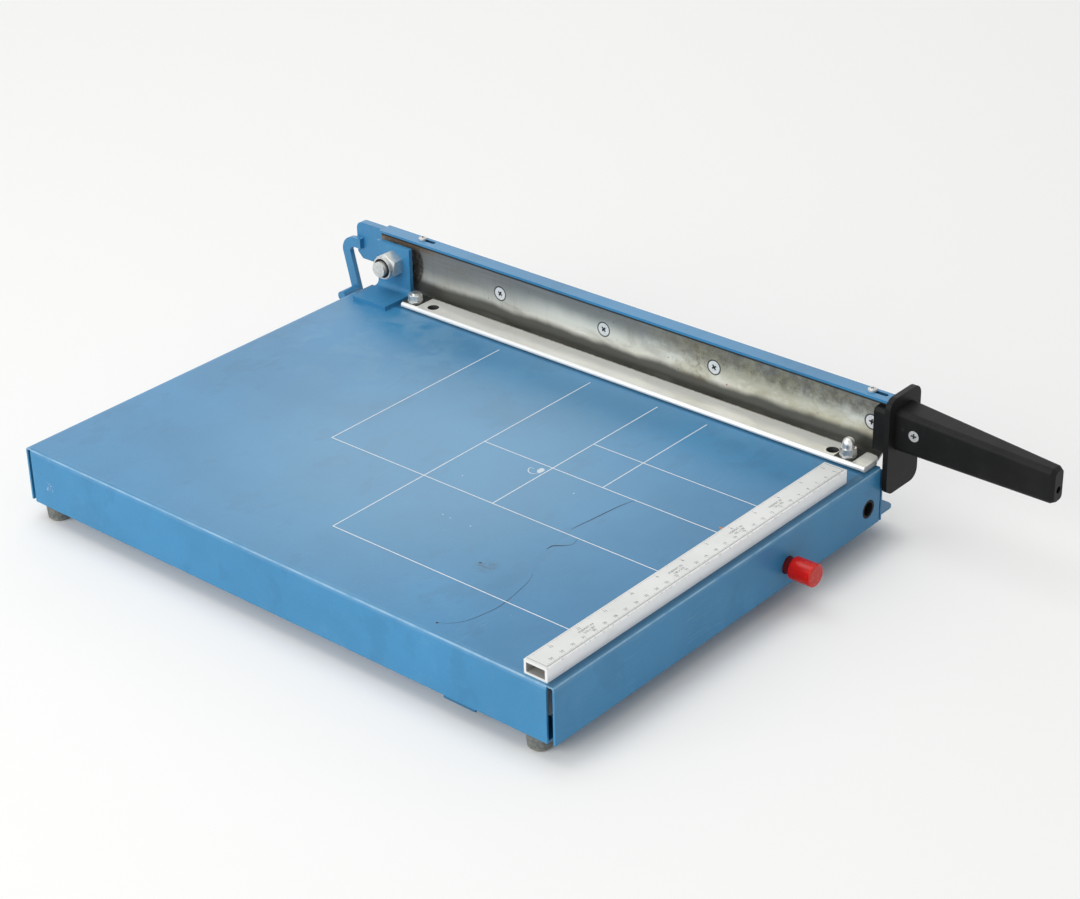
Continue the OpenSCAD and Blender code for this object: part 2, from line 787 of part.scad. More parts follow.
// Riveted pins with a shoulder beside the web and a head outside the crank
module crank_pins() {
    head_x = crank_x - crank_t - 0.3;
    color(zinc) for (y = studs_y + [crank_arm, crank_arm]) {
        bar_x(head_x, crank_web_x + crank_web_t, y, -crank_z, crank_pin_d / 2);
        bar_x(crank_x + 0.3, crank_web_x, y, -crank_z, crank_pin_d / 2 + 1.5);
        bar_x(head_x - 1.5, head_x, y, -crank_z, crank_pin_d / 2 + 1.5);
    }
}

module clamp_spring(y) {
    floor_z = lift_z + lift_t;
    color(steel) translate([-stud_x, y, floor_z])
        coil(spring_d, spring_wire, spring_turns, guide_z - floor_z);
}

// Angle under the table that guides the lock rod
module lock_guide() {
    half = rod_r + 8;
    color(blue) difference() {
        union() {
            block([-knob_x - half, guide_y, -knob_z - rod_r - 5],
                [-knob_x + half, guide_y + guide_t, under_z]);
            block([-knob_x - half, guide_y, under_z - guide_t],
                [-knob_x + half, guide_y + guide_foot, under_z]);
        }
        bar_y(guide_y - 1, guide_y + guide_t + 1, -knob_x, -knob_z, rod_r + run);
    }
}

module lock_spring() {
    y0 = collar_y + collar_t;
    color(steel) translate([-knob_x, y0, -knob_z]) rotate([-90, 0, 0])
        coil(lock_rod_d + 5, spring_wire, lock_turns, guide_y - y0);
}

module lever_post() {
    color(zinc) {
        bar_z(lever_z - 2, under_z, -post_x, lever_cy, post_d / 2);
        bar_z(lever_z + lever_t + 0.3, under_z, -post_x, lever_cy, post_d / 2 + 2);
    }
}

module lever_clip() {
    color(steel) difference() {
        bar_z(lever_z - 1.5, lever_z - 0.3, -post_x, lever_cy, post_d / 2 + 3);
        bar_z(lever_z - 2, lever_z, -post_x, lever_cy, post_d / 2 + fit);
    }
}

// Cross recess of a screw head, cut down from z = 0
module cross_cut(d) {
    for (a = [0, 90]) rotate(a) translate([-0.4 * d, -d / 8, -d / 3]) cube([0.8 * d, d / 4, d]);
}

// Outline of the arm bar in [y, z], from the rounded tail to the tang
module arm_outline() {
    tang_end = guard_face - tang_l;
    shoulder = guard_back + clear;
    difference() {
        translate([shoulder, arm_low]) square([tail_y - shoulder, arm_h]);
        translate([tail_y - tail_r, arm_top - tail_r]) difference() {
            square(tail_r + 1);
            circle(tail_r);
        }
        translate([tail_y - tail_r, arm_low]) polygon([[0, -1], [tail_r + 1, -1], [tail_r + 1, tail_r]]);
    }
    translate([tang_end, grip_z - tang_h / 2]) square([shoulder - tang_end + 1, tang_h]);
}

module arm_bar() {
    color(blue) difference() {
        yz(arm_in, arm_out) arm_outline();
        bar_x(arm_in - 1, arm_out + 1, pivot_y, pivot_z, bush_r + fit);
        for (y = blade_screws_y)
            bar_x(arm_in - 1, arm_out + 1, y, blade_screw_z, blade_screw_d / 2 + fit);
        for (y = cover_screws_y)
            bar_z(arm_top - cover_screw_l - 1, arm_top + 1, cover_screw_x, y, cover_screw_d / 2 + fit);
        bar_x(arm_in - 1, arm_out + 1, handle_screw_y, grip_z, handle_screw_d / 2 + fit);
        for (z = catch_screws_z) bar_x(arm_in + 1, arm_out + 1, catch_mid_y, z, catch_screw_d / 2 + fit);
    }
}

module pivot_bush() {
    color([0.72, 0.55, 0.3]) difference() {
        bar_x(blade_gap, arm_out, pivot_y, pivot_z, bush_r);
        bar_x(blade_gap - 1, arm_out + 1, pivot_y, pivot_z, pivot_d / 2 + run);
    }
}

// Blade with a ground bevel on its outer side and a cut-back rear end
module upper_blade() {
    rear = pivot_y + blade_tail;
    front_cut = 10;
    rear_cut = 18;
    rear_rise = 14;
    color(steel) difference() {
        intersection() {
            yz(blade_gap, arm_in) polygon([[-blade_front, arm_top], [-blade_front, ferrule_low],
                [-blade_front + front_cut, -edge_drop], [pivot_y - rear_cut, -edge_drop],
                [rear, pivot_z - rear_rise], [rear, arm_top]]);
            xz(-blade_front - 1, rear + 1) polygon([[blade_gap, arm_top], [arm_in, arm_top],
                [arm_in, bevel_h - edge_drop], [blade_gap, -edge_drop]]);
        }
        bar_x(blade_gap - 1, arm_in + 1, pivot_y, pivot_z, bush_r + fit);
        for (y = blade_screws_y) {
            bar_x(blade_gap - 1, arm_in + 1, y, blade_screw_z, blade_screw_d / 2 + fit);
            translate([blade_gap, y, blade_screw_z]) rotate([0, 90, 0])
                cylinder(r1 = blade_head_r + fit, r2 = blade_screw_d / 2 + fit, h = blade_cone_h);
        }
    }
}

module blade_screws() {
    color(zinc) for (y = blade_screws_y) difference() {
        union() {
            bar_x(blade_gap + blade_cone_h - 0.01, arm_out - 0.5, y, blade_screw_z, blade_screw_d / 2);
            translate([blade_gap, y, blade_screw_z]) rotate([0, 90, 0])
                cylinder(r1 = blade_head_r, r2 = blade_screw_d / 2, h = blade_cone_h);
        }
        translate([blade_gap, y, blade_screw_z]) rotate([0, -90, 0]) rotate(y) cross_cut(blade_screw_d);
    }
}

// Strip on the arm that covers the blade's back, held in two slots
module top_cover() {
    x0 = -cover_over;
    color(blue) difference() {
        block([x0, cover_front, arm_top], [x0 + cover_w, cover_rear, arm_top + cover_t]);
        for (y = cover_screws_y) translate([0, 0, arm_top - 1]) linear_extrude(cover_t + 2)
            link([cover_screw_x, y], [cover_screw_x, y - cover_slot], cover_screw_d / 2 + fit);
    }
}

module cover_screws() {
    head_z = arm_top + cover_t;
    dome_r = 1.55 * cover_screw_d;
    top = 0.65 * cover_screw_d;
    head_r = 0.9 * cover_screw_d;
    color(zinc) for (y = cover_screws_y) translate([cover_screw_x, y, head_z]) difference() {
        union() {
            bar_z(-cover_t - cover_screw_l, 0.01, 0, 0, cover_screw_d / 2);
            rotate_extrude() intersection() {
                translate([0, top - dome_r]) circle(dome_r);
                square([head_r, top]);
            }
        }
        translate([0, 0, top]) rotate(y) cross_cut(cover_screw_d);
    }
}

// Cross-section of the grip at a place along it: 0 at the guard, 1 at the tip
module grip_section(at, shrink) {
    w = grip_w + (tip_w - grip_w) * at - 2 * shrink;
    h = grip_h + (tip_h - grip_h) * at - 2 * shrink;
    r = grip_r - shrink / 2;
    y = guard_face - grip_l * at;
    translate([arm_x, y, grip_z - grip_drop * at]) rotate([90, 0, 0]) linear_extrude(0.01, $fn = 32)
        round_rect([-w / 2, -h / 2], [w / 2, h / 2], r);
}

module handle() {
    ferrule_rear = guard_back + ferrule_l;
    soft = 3;
    tip_hole_d = 5;
    tip_hole_l = 14;
    color(black) difference() {
        union() {
            xz(guard_face, guard_back) round_rect([arm_x - guard_w / 2, -guard_drop],
                [arm_x + guard_w / 2, guard_h - guard_drop], guard_r);
            xz(guard_back - 0.01, ferrule_rear) round_rect([arm_x - ferrule_w / 2, ferrule_low],
                [arm_x + ferrule_w / 2, ferrule_top], 3);
            hull() {
                translate([0, guard_t / 2, 0]) grip_section(0, 0);
                grip_section(1 - soft / grip_l, 0);
                translate([0, 0.01, 0]) grip_section(1, soft / 2);
            }
        }
        block([arm_in - fit, guard_face - tang_l - fit, grip_z - tang_h / 2 - fit],
            [arm_out + fit, guard_back + 1, grip_z + tang_h / 2 + fit]);
        block([arm_in - fit, guard_back, arm_low - fit], [arm_out + fit, ferrule_rear + 1, ferrule_top + 1]);
        block([blade_gap - fit, -blade_front - fit, ferrule_low - 1],
            [arm_in, ferrule_rear + 1, ferrule_top + 1]);
        bar_x(arm_x - grip_w, arm_in, handle_screw_y, grip_z, handle_screw_d / 2 + fit);
        bar_x(arm_x - grip_w, screw_head_x() + handle_head_h, handle_screw_y, grip_z, handle_screw_d + fit);
        bar_y(tip_y - 1, tip_y + tip_hole_l, arm_x, grip_z - grip_drop - 3, tip_hole_d / 2);
    }
}

// Side of the grip where the handle screw's head lies
function screw_head_x() = arm_x - grip_w / 2 + (grip_w - tip_w) / 2 * handle_screw_in / grip_l;

module handle_screw() {
    x0 = screw_head_x() + 0.3;
    x1 = screw_head_x() + handle_head_h;
    color(zinc) difference() {
        union() {
            bar_x(x0, x1, handle_screw_y, grip_z, handle_screw_d);
            bar_x(x1 - 0.01, arm_out, handle_screw_y, grip_z, handle_screw_d / 2);
        }
        translate([x0, handle_screw_y, grip_z]) rotate([30, -90, 0]) cross_cut(1.2 * handle_screw_d);
    }
}

// Bar bent down behind the table, with the cross pin that turns the rear crank
module tail_hook() {
    top_z = pivot_z + hook_up;
    root_y = tail_y - hook_root;
    bend = [hook_rear - hook_r, top_z - hook_r];
    knee = [hook_rear - hook_w / 2, bend[1]];
    color(blue) {
        yz(arm_in - hook_t, arm_in) {
            translate([root_y, top_z - hook_w]) square([bend[0] - root_y, hook_w]);
            translate(bend) intersection() {
                difference() {
                    circle(hook_r);
                    circle(hook_r - hook_w);
                }
                square(hook_r);
            }
            link(knee, hook_pin, hook_w / 2);
        }
        bar_x(-hook_pin_in, arm_in, hook_pin[0], hook_pin[1], hook_pin_d / 2);
    }
}

// Strap on the arm's outer side whose ledge the lock lever holds down
module arm_catch() {
    low = catch_top - catch_t;
    color(blue) difference() {
        xz(catch_y, catch_y + catch_w) {
            translate([arm_out, low]) square([catch_t, arm_low + catch_up - low]);
            translate([blade_gap + 0.5, low]) square([arm_out - blade_gap, catch_t]);
        }
        for (z = catch_screws_z)
            bar_x(arm_out - 1, arm_out + catch_t + 1, catch_mid_y, z, catch_screw_d / 2 + fit);
    }
}

module catch_screws() {
    x1 = arm_out + catch_t;
    color(zinc) for (z = catch_screws_z) {
        bar_x(arm_in + 1.5, x1 + 0.01, catch_mid_y, z, catch_screw_d / 2);
        bar_x(x1, x1 + pan_h, catch_mid_y, z, catch_screw_d);
    }
}

// Strip with a half-round edge along the table side and shallow pockets for the pads
module clamp_strip() {
    edge_x = -clamp_left + clamp_t / 2;
    color(zinc) difference() {
        xz(-clamp_front, pivot_y - clamp_rear) {
            translate([edge_x, clamp_z]) square([clamp_left - clamp_t / 2 - clamp_right, clamp_t]);
            translate([edge_x, clamp_z + clamp_t / 2]) circle(d = clamp_t);
        }
        for (y = studs_y) {
            bar_z(clamp_z - 1, clamp_top + 1, -stud_x, y, stud_d / 2 + fit);
            block([pad_left, y - pad_l / 2, clamp_top - pad_sunk],
                [-clamp_right + 1, y + pad_l / 2, clamp_top + 1]);
        }
        for (y = spares_y) bar_z(clamp_z - 1, clamp_top + 1, -stud_x, y, spare_d / 2);
        translate([-clamp_right - clamp_r, -clamp_front + clamp_r, clamp_z - 1]) linear_extrude(clamp_t + 2)
            difference() {
                translate([0, -clamp_r - 1]) square(clamp_r + 1);
                circle(clamp_r);
            }
    }
}

// Studs from under the lift plates up into the nuts
module clamp_studs() {
    color(zinc) {
        bar_z(stud_low, stud_seat + cap_depth, -stud_x, studs_y[0], stud_d / 2);
        bar_z(stud_low, stud_seat + stud_nut_h + 1, -stud_x, studs_y[1], stud_d / 2);
    }
}

// Plain hex nut standing on z = 0, with its edges turned off at the top
module hex_nut(af, h, bore_r) {
    difference() {
        intersection() {
            linear_extrude(h) hex(af);
            cylinder(r1 = af / 2 + h, r2 = 0.96 * af / 2, h = h);
        }
        if (bore_r > 0) translate([0, 0, -1]) cylinder(r = bore_r, h = h + 2);
    }
}

module clamp_nut() {
    color(zinc) translate([-stud_x, studs_y[1], stud_seat])
        hex_nut(stud_nut_af, stud_nut_h, stud_d / 2 + fit);
}

// Domed nut that closes over the front stud
module cap_nut() {
    hex_h = 0.8 * stud_d;
    dome_r = stud_nut_af / 2 - 0.6;
    dome_z = 1.7 * stud_d - dome_r / 2;
    color(zinc) translate([-stud_x, studs_y[0], stud_seat]) difference() {
        union() {
            linear_extrude(hex_h) hex(stud_nut_af);
            cylinder(r = dome_r, h = dome_z);
            translate([0, 0, dome_z]) sphere(dome_r);
        }
        translate([0, 0, -1]) cylinder(r = stud_d / 2 + fit, h = cap_depth + 1 + clear);
    }
}

module clamp_washers() {
    color(zinc) for (y = studs_y) difference() {
        bar_z(pad_top, stud_seat, -stud_x, y, stud_washer_r);
        bar_z(pad_top - 1, stud_seat + 1, -stud_x, y, stud_d / 2 + fit);
    }
}

module clamp_pads() {
    color([0.12, 0.12, 0.11]) for (y = studs_y) difference() {
        block([pad_left + fit, y - pad_l / 2 + fit, clamp_top - pad_sunk],
            [-clamp_right, y + pad_l / 2 - fit, pad_top]);
        bar_z(clamp_z, pad_top + 1, -stud_x, y, stud_d / 2 + fit);
    }
}

// Plates on the studs that the springs push down and the crank noses lift
module lift_plates() {
    color(steel) for (y = studs_y) difference() {
        block([lift_left, y - lift_l / 2, lift_z], [lift_right, y + lift_l / 2, lift_z + lift_t]);
        bar_z(lift_z - 1, lift_z + lift_t + 1, -stud_x, y, stud_d / 2 + fit);
    }
}

module stud_nuts() {
    color(zinc) for (y = studs_y) translate([-stud_x, y, lift_z]) mirror([0, 0, 1])
        hex_nut(stud_nut_af, stud_nut_h, stud_d / 2 + fit);
}

// Bell crank in [y, z], around its own pin
module crank(y) {
    color(blue) translate([0, y, -crank_z]) difference() {
        yz(crank_x - crank_t, crank_x) {
            circle(crank_hub_r);
            link([0, 0], crank_knee, nose_r);
            link(crank_knee, [-crank_arm, nose_drop], nose_r);
            link([0, 0], push_rel, tie_pin_d / 2 + 2.5);
        }
        bar_x(crank_x - crank_t - 1, crank_x + 1, 0, 0, crank_pin_d / 2 + run);
        bar_x(crank_x - crank_t - 1, crank_x + 1, push_rel[0], push_rel[1], tie_pin_d / 2 + fit);
    }
}

// Pin of the rear crank: carries the tie rod and reaches out to the hook's cross pin
module push_pin() {
    y = rear_crank_y + push_rel[0];
    z = push_rel[1] - crank_z;
    color(zinc) {
        bar_x(tie_x - tie_t - 0.3, crank_x + 0.01, y, z, tie_pin_d / 2);
        bar_x(crank_x, push_end, y, z, push_d / 2);
        bar_x(tie_x - tie_t - 1.8, tie_x - tie_t - 0.3, y, z, push_d / 2);
    }
}

// Short pin of the front crank, loose in the tie rod
module tie_pin() {
    y = studs_y[0] + crank_arm + push_rel[0];
    z = push_rel[1] - crank_z;
    color(zinc) {
        bar_x(tie_x - tie_t - 0.3, crank_x, y, z, tie_pin_d / 2);
        bar_x(crank_x, crank_x + 1.5, y, z, push_d / 2);
        bar_x(tie_x - tie_t - 1.8, tie_x - tie_t - 0.3, y, z, push_d / 2);
    }
}

module tie_rod() {
    rear = [rear_crank_y, -crank_z] + push_rel;
    front = rear - [studs_y[1] - studs_y[0], 0];
    color(blue) difference() {
        yz(tie_x - tie_t, tie_x) link(front, rear, tie_h / 2);
        bar_x(tie_x - tie_t - 1, tie_x + 1, rear[0], rear[1], tie_pin_d / 2 + run);
        bar_x(tie_x - tie_t - 1, tie_x + 1, front[0], front[1], tie_pin_d / 2 + clear);
    }
}

// Push knob with a neck that enters the front wall
module lock_knob() {
    r = knob_d / 2;
    face_y = front_y - neck_l - knob_l;
    color([0.75, 0.07, 0.07]) translate([-knob_x, face_y, -knob_z]) rotate([-90, 0, 0]) difference() {
        union() {
            rotate_extrude() {
                translate([0, 1]) square([r, knob_l - 2]);
                square([r - 1, knob_l]);
                translate([r - 1, 1]) circle(1);
                translate([r - 1, knob_l - 1]) circle(1);
            }
            cylinder(r = neck_d / 2, h = knob_l + neck_l + sheet_t);
        }
        translate([0, 0, knob_cap]) cylinder(r = rod_r + fit, h = knob_l + neck_l + sheet_t);
    }
}

// Rod from the knob to the lever, with its upright drive pin
module lock_rod() {
    color(zinc) {
        bar_y(front_y - neck_l - knob_l + knob_cap, rod_end, -knob_x, -knob_z, rod_r);
        bar_z(-knob_z, lever_z + lever_t + 1, -knob_x, lever_cy, drive_d / 2);
    }
}

module lock_collar() {
    color(zinc) difference() {
        bar_y(collar_y, collar_y + collar_t, -knob_x, -knob_z, neck_d / 2 + 2);
        bar_y(collar_y - 1, collar_y + collar_t + 1, -knob_x, -knob_z, rod_r + fit);
    }
}

// Lever that turns on its post and puts its nose over the catch
module lock_lever() {
    color(blue) translate([0, 0, lever_z]) difference() {
        linear_extrude(lever_t) {
            link([-knob_x, lever_cy], [-post_x, lever_cy], lever_w / 2);
            link([-post_x, lever_cy], [nose_out - lever_w / 2, lever_cy], lever_w / 2);
        }
        translate([-post_x, lever_cy, -1]) cylinder(r = post_d / 2 + run, h = lever_t + 2);
        translate([0, 0, -1]) linear_extrude(lever_t + 2)
            link([-knob_x - 1, lever_cy], [-knob_x + 1, lever_cy], drive_d / 2 + 0.2);
    }
}

// Moves a piece so that the origin is under the middle of the cutter
module place() {
    translate([-mid_x, -mid_y, -ground_z]) children();
}

place() table_top();
place() left_wall();
place() front_wall();
place() rear_wall();
place() right_wall();
place() fixed_blade();
place() fixed_blade_screws();
place() pivot_bracket();
place() bracket_screws();
place() pivot_bolt();
place() pivot_nut();
place() nut_ring();
place() pivot_washers();
place() ruler();
place() ruler_screws();
place() foot(foot_places[0]);  // foot_front_left
place() foot(foot_places[1]);  // foot_rear_left
place() foot(foot_places[2]);  // foot_front_right
place() foot(foot_places[3]);  // foot_rear_right
place() foot_screws();
place() gauge_bush();
place() stud_guides();
place() crank_brackets();
place() crank_pins();
place() clamp_spring(studs_y[0]);  // clamp_spring_front
place() clamp_spring(studs_y[1]);  // clamp_spring_rear
place() lock_guide();
place() lock_spring();
place() lever_post();
place() lever_clip();
place() arm_bar();
place() pivot_bush();
place() upper_blade();
place() blade_screws();
place() top_cover();
place() cover_screws();
place() handle();
place() handle_screw();
place() tail_hook();
place() arm_catch();
place() catch_screws();
place() clamp_strip();
place() clamp_studs();
place() clamp_nut();
place() cap_nut();
place() clamp_washers();
place() clamp_pads();
place() lift_plates();
place() stud_nuts();
place() crank(rear_crank_y);  // rear_crank
place() push_pin();
place() crank(studs_y[0] + crank_arm);  // front_crank
place() tie_pin();
place() tie_rod();
place() lock_knob();
place() lock_rod();
place() lock_collar();
place() lock_lever();
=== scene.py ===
import math
import random

import bmesh
import bpy
from mathutils import Matrix, Vector


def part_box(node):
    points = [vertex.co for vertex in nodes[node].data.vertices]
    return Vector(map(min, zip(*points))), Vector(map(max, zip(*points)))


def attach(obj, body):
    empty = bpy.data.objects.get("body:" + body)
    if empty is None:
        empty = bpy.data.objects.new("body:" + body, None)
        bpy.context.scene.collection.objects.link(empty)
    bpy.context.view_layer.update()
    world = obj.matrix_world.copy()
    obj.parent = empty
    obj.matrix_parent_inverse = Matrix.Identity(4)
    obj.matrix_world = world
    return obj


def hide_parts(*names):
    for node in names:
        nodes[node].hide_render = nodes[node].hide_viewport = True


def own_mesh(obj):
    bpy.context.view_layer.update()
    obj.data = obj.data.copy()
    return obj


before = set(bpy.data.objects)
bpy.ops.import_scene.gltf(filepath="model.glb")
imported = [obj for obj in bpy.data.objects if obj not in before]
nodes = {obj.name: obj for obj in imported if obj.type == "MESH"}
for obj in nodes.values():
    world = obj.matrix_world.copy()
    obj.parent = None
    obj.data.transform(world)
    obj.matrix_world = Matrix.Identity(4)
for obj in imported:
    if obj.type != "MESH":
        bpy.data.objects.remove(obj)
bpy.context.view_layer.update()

# Sizes are in millimetres from the datum of the part's source: x = 0 on the cutting plane, y = 0 at the
# ruler's inner edge and z = 0 on the table top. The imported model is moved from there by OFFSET.
MM = 0.001
OFFSET = Vector((163.825, -171.0, 55.0))

# Table and ruler
LEFT_X, RIGHT_X, FRONT_Y, REAR_Y = -352.5, -8.5, -24.5, 454.5
WALL_H = 41.0
RULER_TOP = 10.0
RULER_X = (-350.0, -43.0)
RULER_W = 18.0

# Arm, blade and cover
PIVOT_Y, PIVOT_Z = 427.0, 25.5
BLADE_SCREWS_Y = (325.5, 225.2, 124.9, -8.0)
BLADE_SCREW_Z = 25.0
BLADE_HEAD_R = 4.95
BEVEL_Z = -4.0
COVER_Z = 43.7
COVER_T = 1.8
COVER_SCREWS = ((5.05, -4.0), (5.05, 408.0))
COVER_SLOT = 11.0
HANDLE_SCREW_X = -4.5

# Clamp strip and its spare holes
CLAMP_X = (-25.5, -4.5)
CLAMP_TOP = 4.15
SPARES = ((-16.5, 11.6), (-16.5, 379.4))
SPARE_R = 4.5

# Centre and radius of the larger marks; None leaves a coordinate free
GREASE_AT, GREASE_R = (-70.0, 380.0, None), 120.0
WIPED_AT, WIPED_R = (-272.5, 98.0, None), 11.0
WORN_SHEEN_AT, WORN_SHEEN_R = (-195.0, 215.0, None), 230.0
CHIP_AT, CHIP_R = (LEFT_X, 432.0, -24.0), 5.0
RUST_AT, RUST_R = (None, 142.0, 26.0), 30.0
RED_DOT_AT, RED_DOT_R = (None, 113.5, 15.0), 0.9

# Zones of tone, each with the two places between which it comes in or goes out. PIVOT_GREASE_R is measured
# from the pivot and RULER_WALL from the outer faces of the ruler.
TOP_Z = (-0.6, -0.2)
FORE_Y = (10.0, 110.0)
GREY_Z = (22.0, 36.0)
DULL_Y, DULL_Z = (240.0, 370.0), (15.0, 27.0)
AGED_Y, MOTTLED_Z = (90.0, 240.0), (22.0, 32.0)
STREAKED_Y = (250.0, 330.0)
OUTER_X = (1.0, 1.6)
DARK_Z = (11.0, 17.5)
RUBBED_Z = (3.0, 8.0)
PIVOT_RUST_Y, PIVOT_RUST_Z = (380.0, 408.0), (35.0, 40.0)
PIVOT_GREASE_R = (21.8, 24.5)
KNOB_FACE_Y = (-46.4, -45.6)
KNOB_NECK_Y = (-30.0, -29.0)
SOLE_Z = (-54.0, -51.0)
RULER_WALL = (1.6, 1.9)


def at(x, y, z):
    """A point of the datum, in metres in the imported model's frame."""
    return (Vector((x, y, z)) + OFFSET) * MM


class Mat:
    """A node material whose textures are placed in the datum's millimetres."""

    def __init__(self, name, metallic=0.0, specular=0.5, coat=0.0, coat_rough=0.1):
        self.mat = bpy.data.materials.new(name)
        self.mat.use_nodes = True
        self.tree = self.mat.node_tree
        self.shader = self.tree.nodes["Principled BSDF"]
        self.shader.inputs["Metallic"].default_value = metallic
        self.shader.inputs["Specular IOR Level"].default_value = specular
        self.shader.inputs["Coat Weight"].default_value = coat
        self.shader.inputs["Coat Roughness"].default_value = coat_rough
        place = self.node("ShaderNodeVectorMath")
        place.operation = "MULTIPLY_ADD"
        self.put(place.inputs[0], self.node("ShaderNodeTexCoord").outputs["Object"])
        place.inputs[1].default_value = (1 / MM, 1 / MM, 1 / MM)
        place.inputs[2].default_value = -OFFSET
        self.at = place.outputs[0]
        split = self.node("ShaderNodeSeparateXYZ")
        self.put(split.inputs[0], self.at)
        self.x, self.y, self.z = split.outputs

    def node(self, kind):
        return self.tree.nodes.new(kind)

    def put(self, socket, value):
        """Links an output to a socket, or sets the socket to a number or colour."""
        if isinstance(value, bpy.types.NodeSocket):
            self.tree.links.new(value, socket)
        elif isinstance(value, tuple) and len(value) == 3 and socket.type == "RGBA":
            socket.default_value = (*value, 1.0)
        else:
            socket.default_value = value

    def math(self, operation, a, b=0.0):
        n = self.node("ShaderNodeMath")
        n.operation = operation
        self.put(n.inputs[0], a)
        self.put(n.inputs[1], b)
        return n.outputs[0]

    def add(self, a, b):
        return self.math("ADD", a, b)

    def less(self, a, b):
        return self.math("SUBTRACT", a, b)

    def mul(self, a, b):
        return self.math("MULTIPLY", a, b)

    def most(self, a, b):
        return self.math("MAXIMUM", a, b)

    def rise(self, value, low, high, to_low=0.0, to_high=1.0):
        """Smooth step of a value between two limits."""
        n = self.node("ShaderNodeMapRange")
        n.interpolation_type = "SMOOTHSTEP"
        self.put(n.inputs[0], value)
        for socket, v in zip(n.inputs[1:5], (low, high, to_low, to_high)):
            self.put(socket, v)
        return n.outputs[0]

    def fall(self, value, low, high, start=1.0):
        """Smooth step down to 0."""
        return self.rise(value, low, high, start, 0.0)

    def moved(self, stretch, turn, shift):
        n = self.node("ShaderNodeMapping")
        self.put(n.inputs["Vector"], self.at)
        n.inputs["Location"].default_value = shift
        n.inputs["Rotation"].default_value = [math.radians(a) for a in turn]
        n.inputs["Scale"].default_value = stretch
        return n.outputs[0]

    def noise(self, scale, detail=3.0, rough=0.55, stretch=(1, 1, 1), turn=(0, 0, 0), shift=(0, 0, 0),
              bend=0.0):
        n = self.node("ShaderNodeTexNoise")
        self.put(n.inputs["Vector"], self.moved(stretch, turn, shift))
        n.inputs["Scale"].default_value = scale
        n.inputs["Detail"].default_value = detail
        n.inputs["Roughness"].default_value = rough
        n.inputs["Distortion"].default_value = bend
        return n.outputs[0]

    def cells(self, scale, shift=(0, 0, 0)):
        n = self.node("ShaderNodeTexVoronoi")
        self.put(n.inputs["Vector"], self.moved((1, 1, 1), (0, 0, 0), shift))
        n.inputs["Scale"].default_value = scale
        return n.outputs["Distance"]

    def mix(self, factor, a, b):
        n = self.node("ShaderNodeMix")
        n.data_type = "RGBA"
        self.put(n.inputs["Factor"], factor)
        colours = [s for s in n.inputs if s.type == "RGBA"]
        self.put(colours[0], a)
        self.put(colours[1], b)
        return next(s for s in n.outputs if s.type == "RGBA")

    def far(self, *pairs):
        """Distance from a line or point, given as (coordinate, place)."""
        total = None
        for value, place in pairs:
            d = self.less(value, place)
            d = self.mul(d, d)
            total = d if total is None else self.add(total, d)
        return self.math("SQRT", total)

    def spot(self, centre, radius, rim=0.5):
        """1 inside a ball round a point and 0 outside it; None leaves a coordinate free."""
        d = self.far(*((v, c) for v, c in zip((self.x, self.y, self.z), centre) if c is not None))
        return self.fall(d, radius * rim, radius)

    def outside(self, value, low, high):
        """How far a coordinate lies outside two limits."""
        middle = self.math("ABSOLUTE", self.less(value, (low + high) / 2))
        return self.most(self.less(middle, (high - low) / 2), 0.0)

    def scratches(self, turn, shift, fine=1.5, gate=0.56):
        """Thin straight lines in one direction, broken up into groups."""
        line = self.noise(fine, 1.0, stretch=(0.02, 1.0, 1.0), turn=turn, shift=shift)
        group = self.noise(0.018, 2.0, shift=shift)
        return self.mul(self.rise(line, 0.69, 0.73), self.rise(group, gate, gate + 0.1))

    def done(self, colour, rough, height=None, strength=0.2, depth=0.05):
        self.put(self.shader.inputs["Base Color"], colour)
        self.put(self.shader.inputs["Roughness"], rough)
        if height is not None:
            bump = self.node("ShaderNodeBump")
            bump.inputs["Strength"].default_value = strength
            bump.inputs["Distance"].default_value = depth * MM
            self.put(bump.inputs["Height"], height)
            self.put(self.shader.inputs["Normal"], bump.outputs[0])
        return self.mat


def shade(colour, k):
    return tuple(min(1.0, c * k) for c in colour)


# Blue enamel
BLUE = (0.039, 0.217, 0.425)
PALE_BLUE = (0.22, 0.40, 0.56)
BEND = 1.2
CREST = 0.75


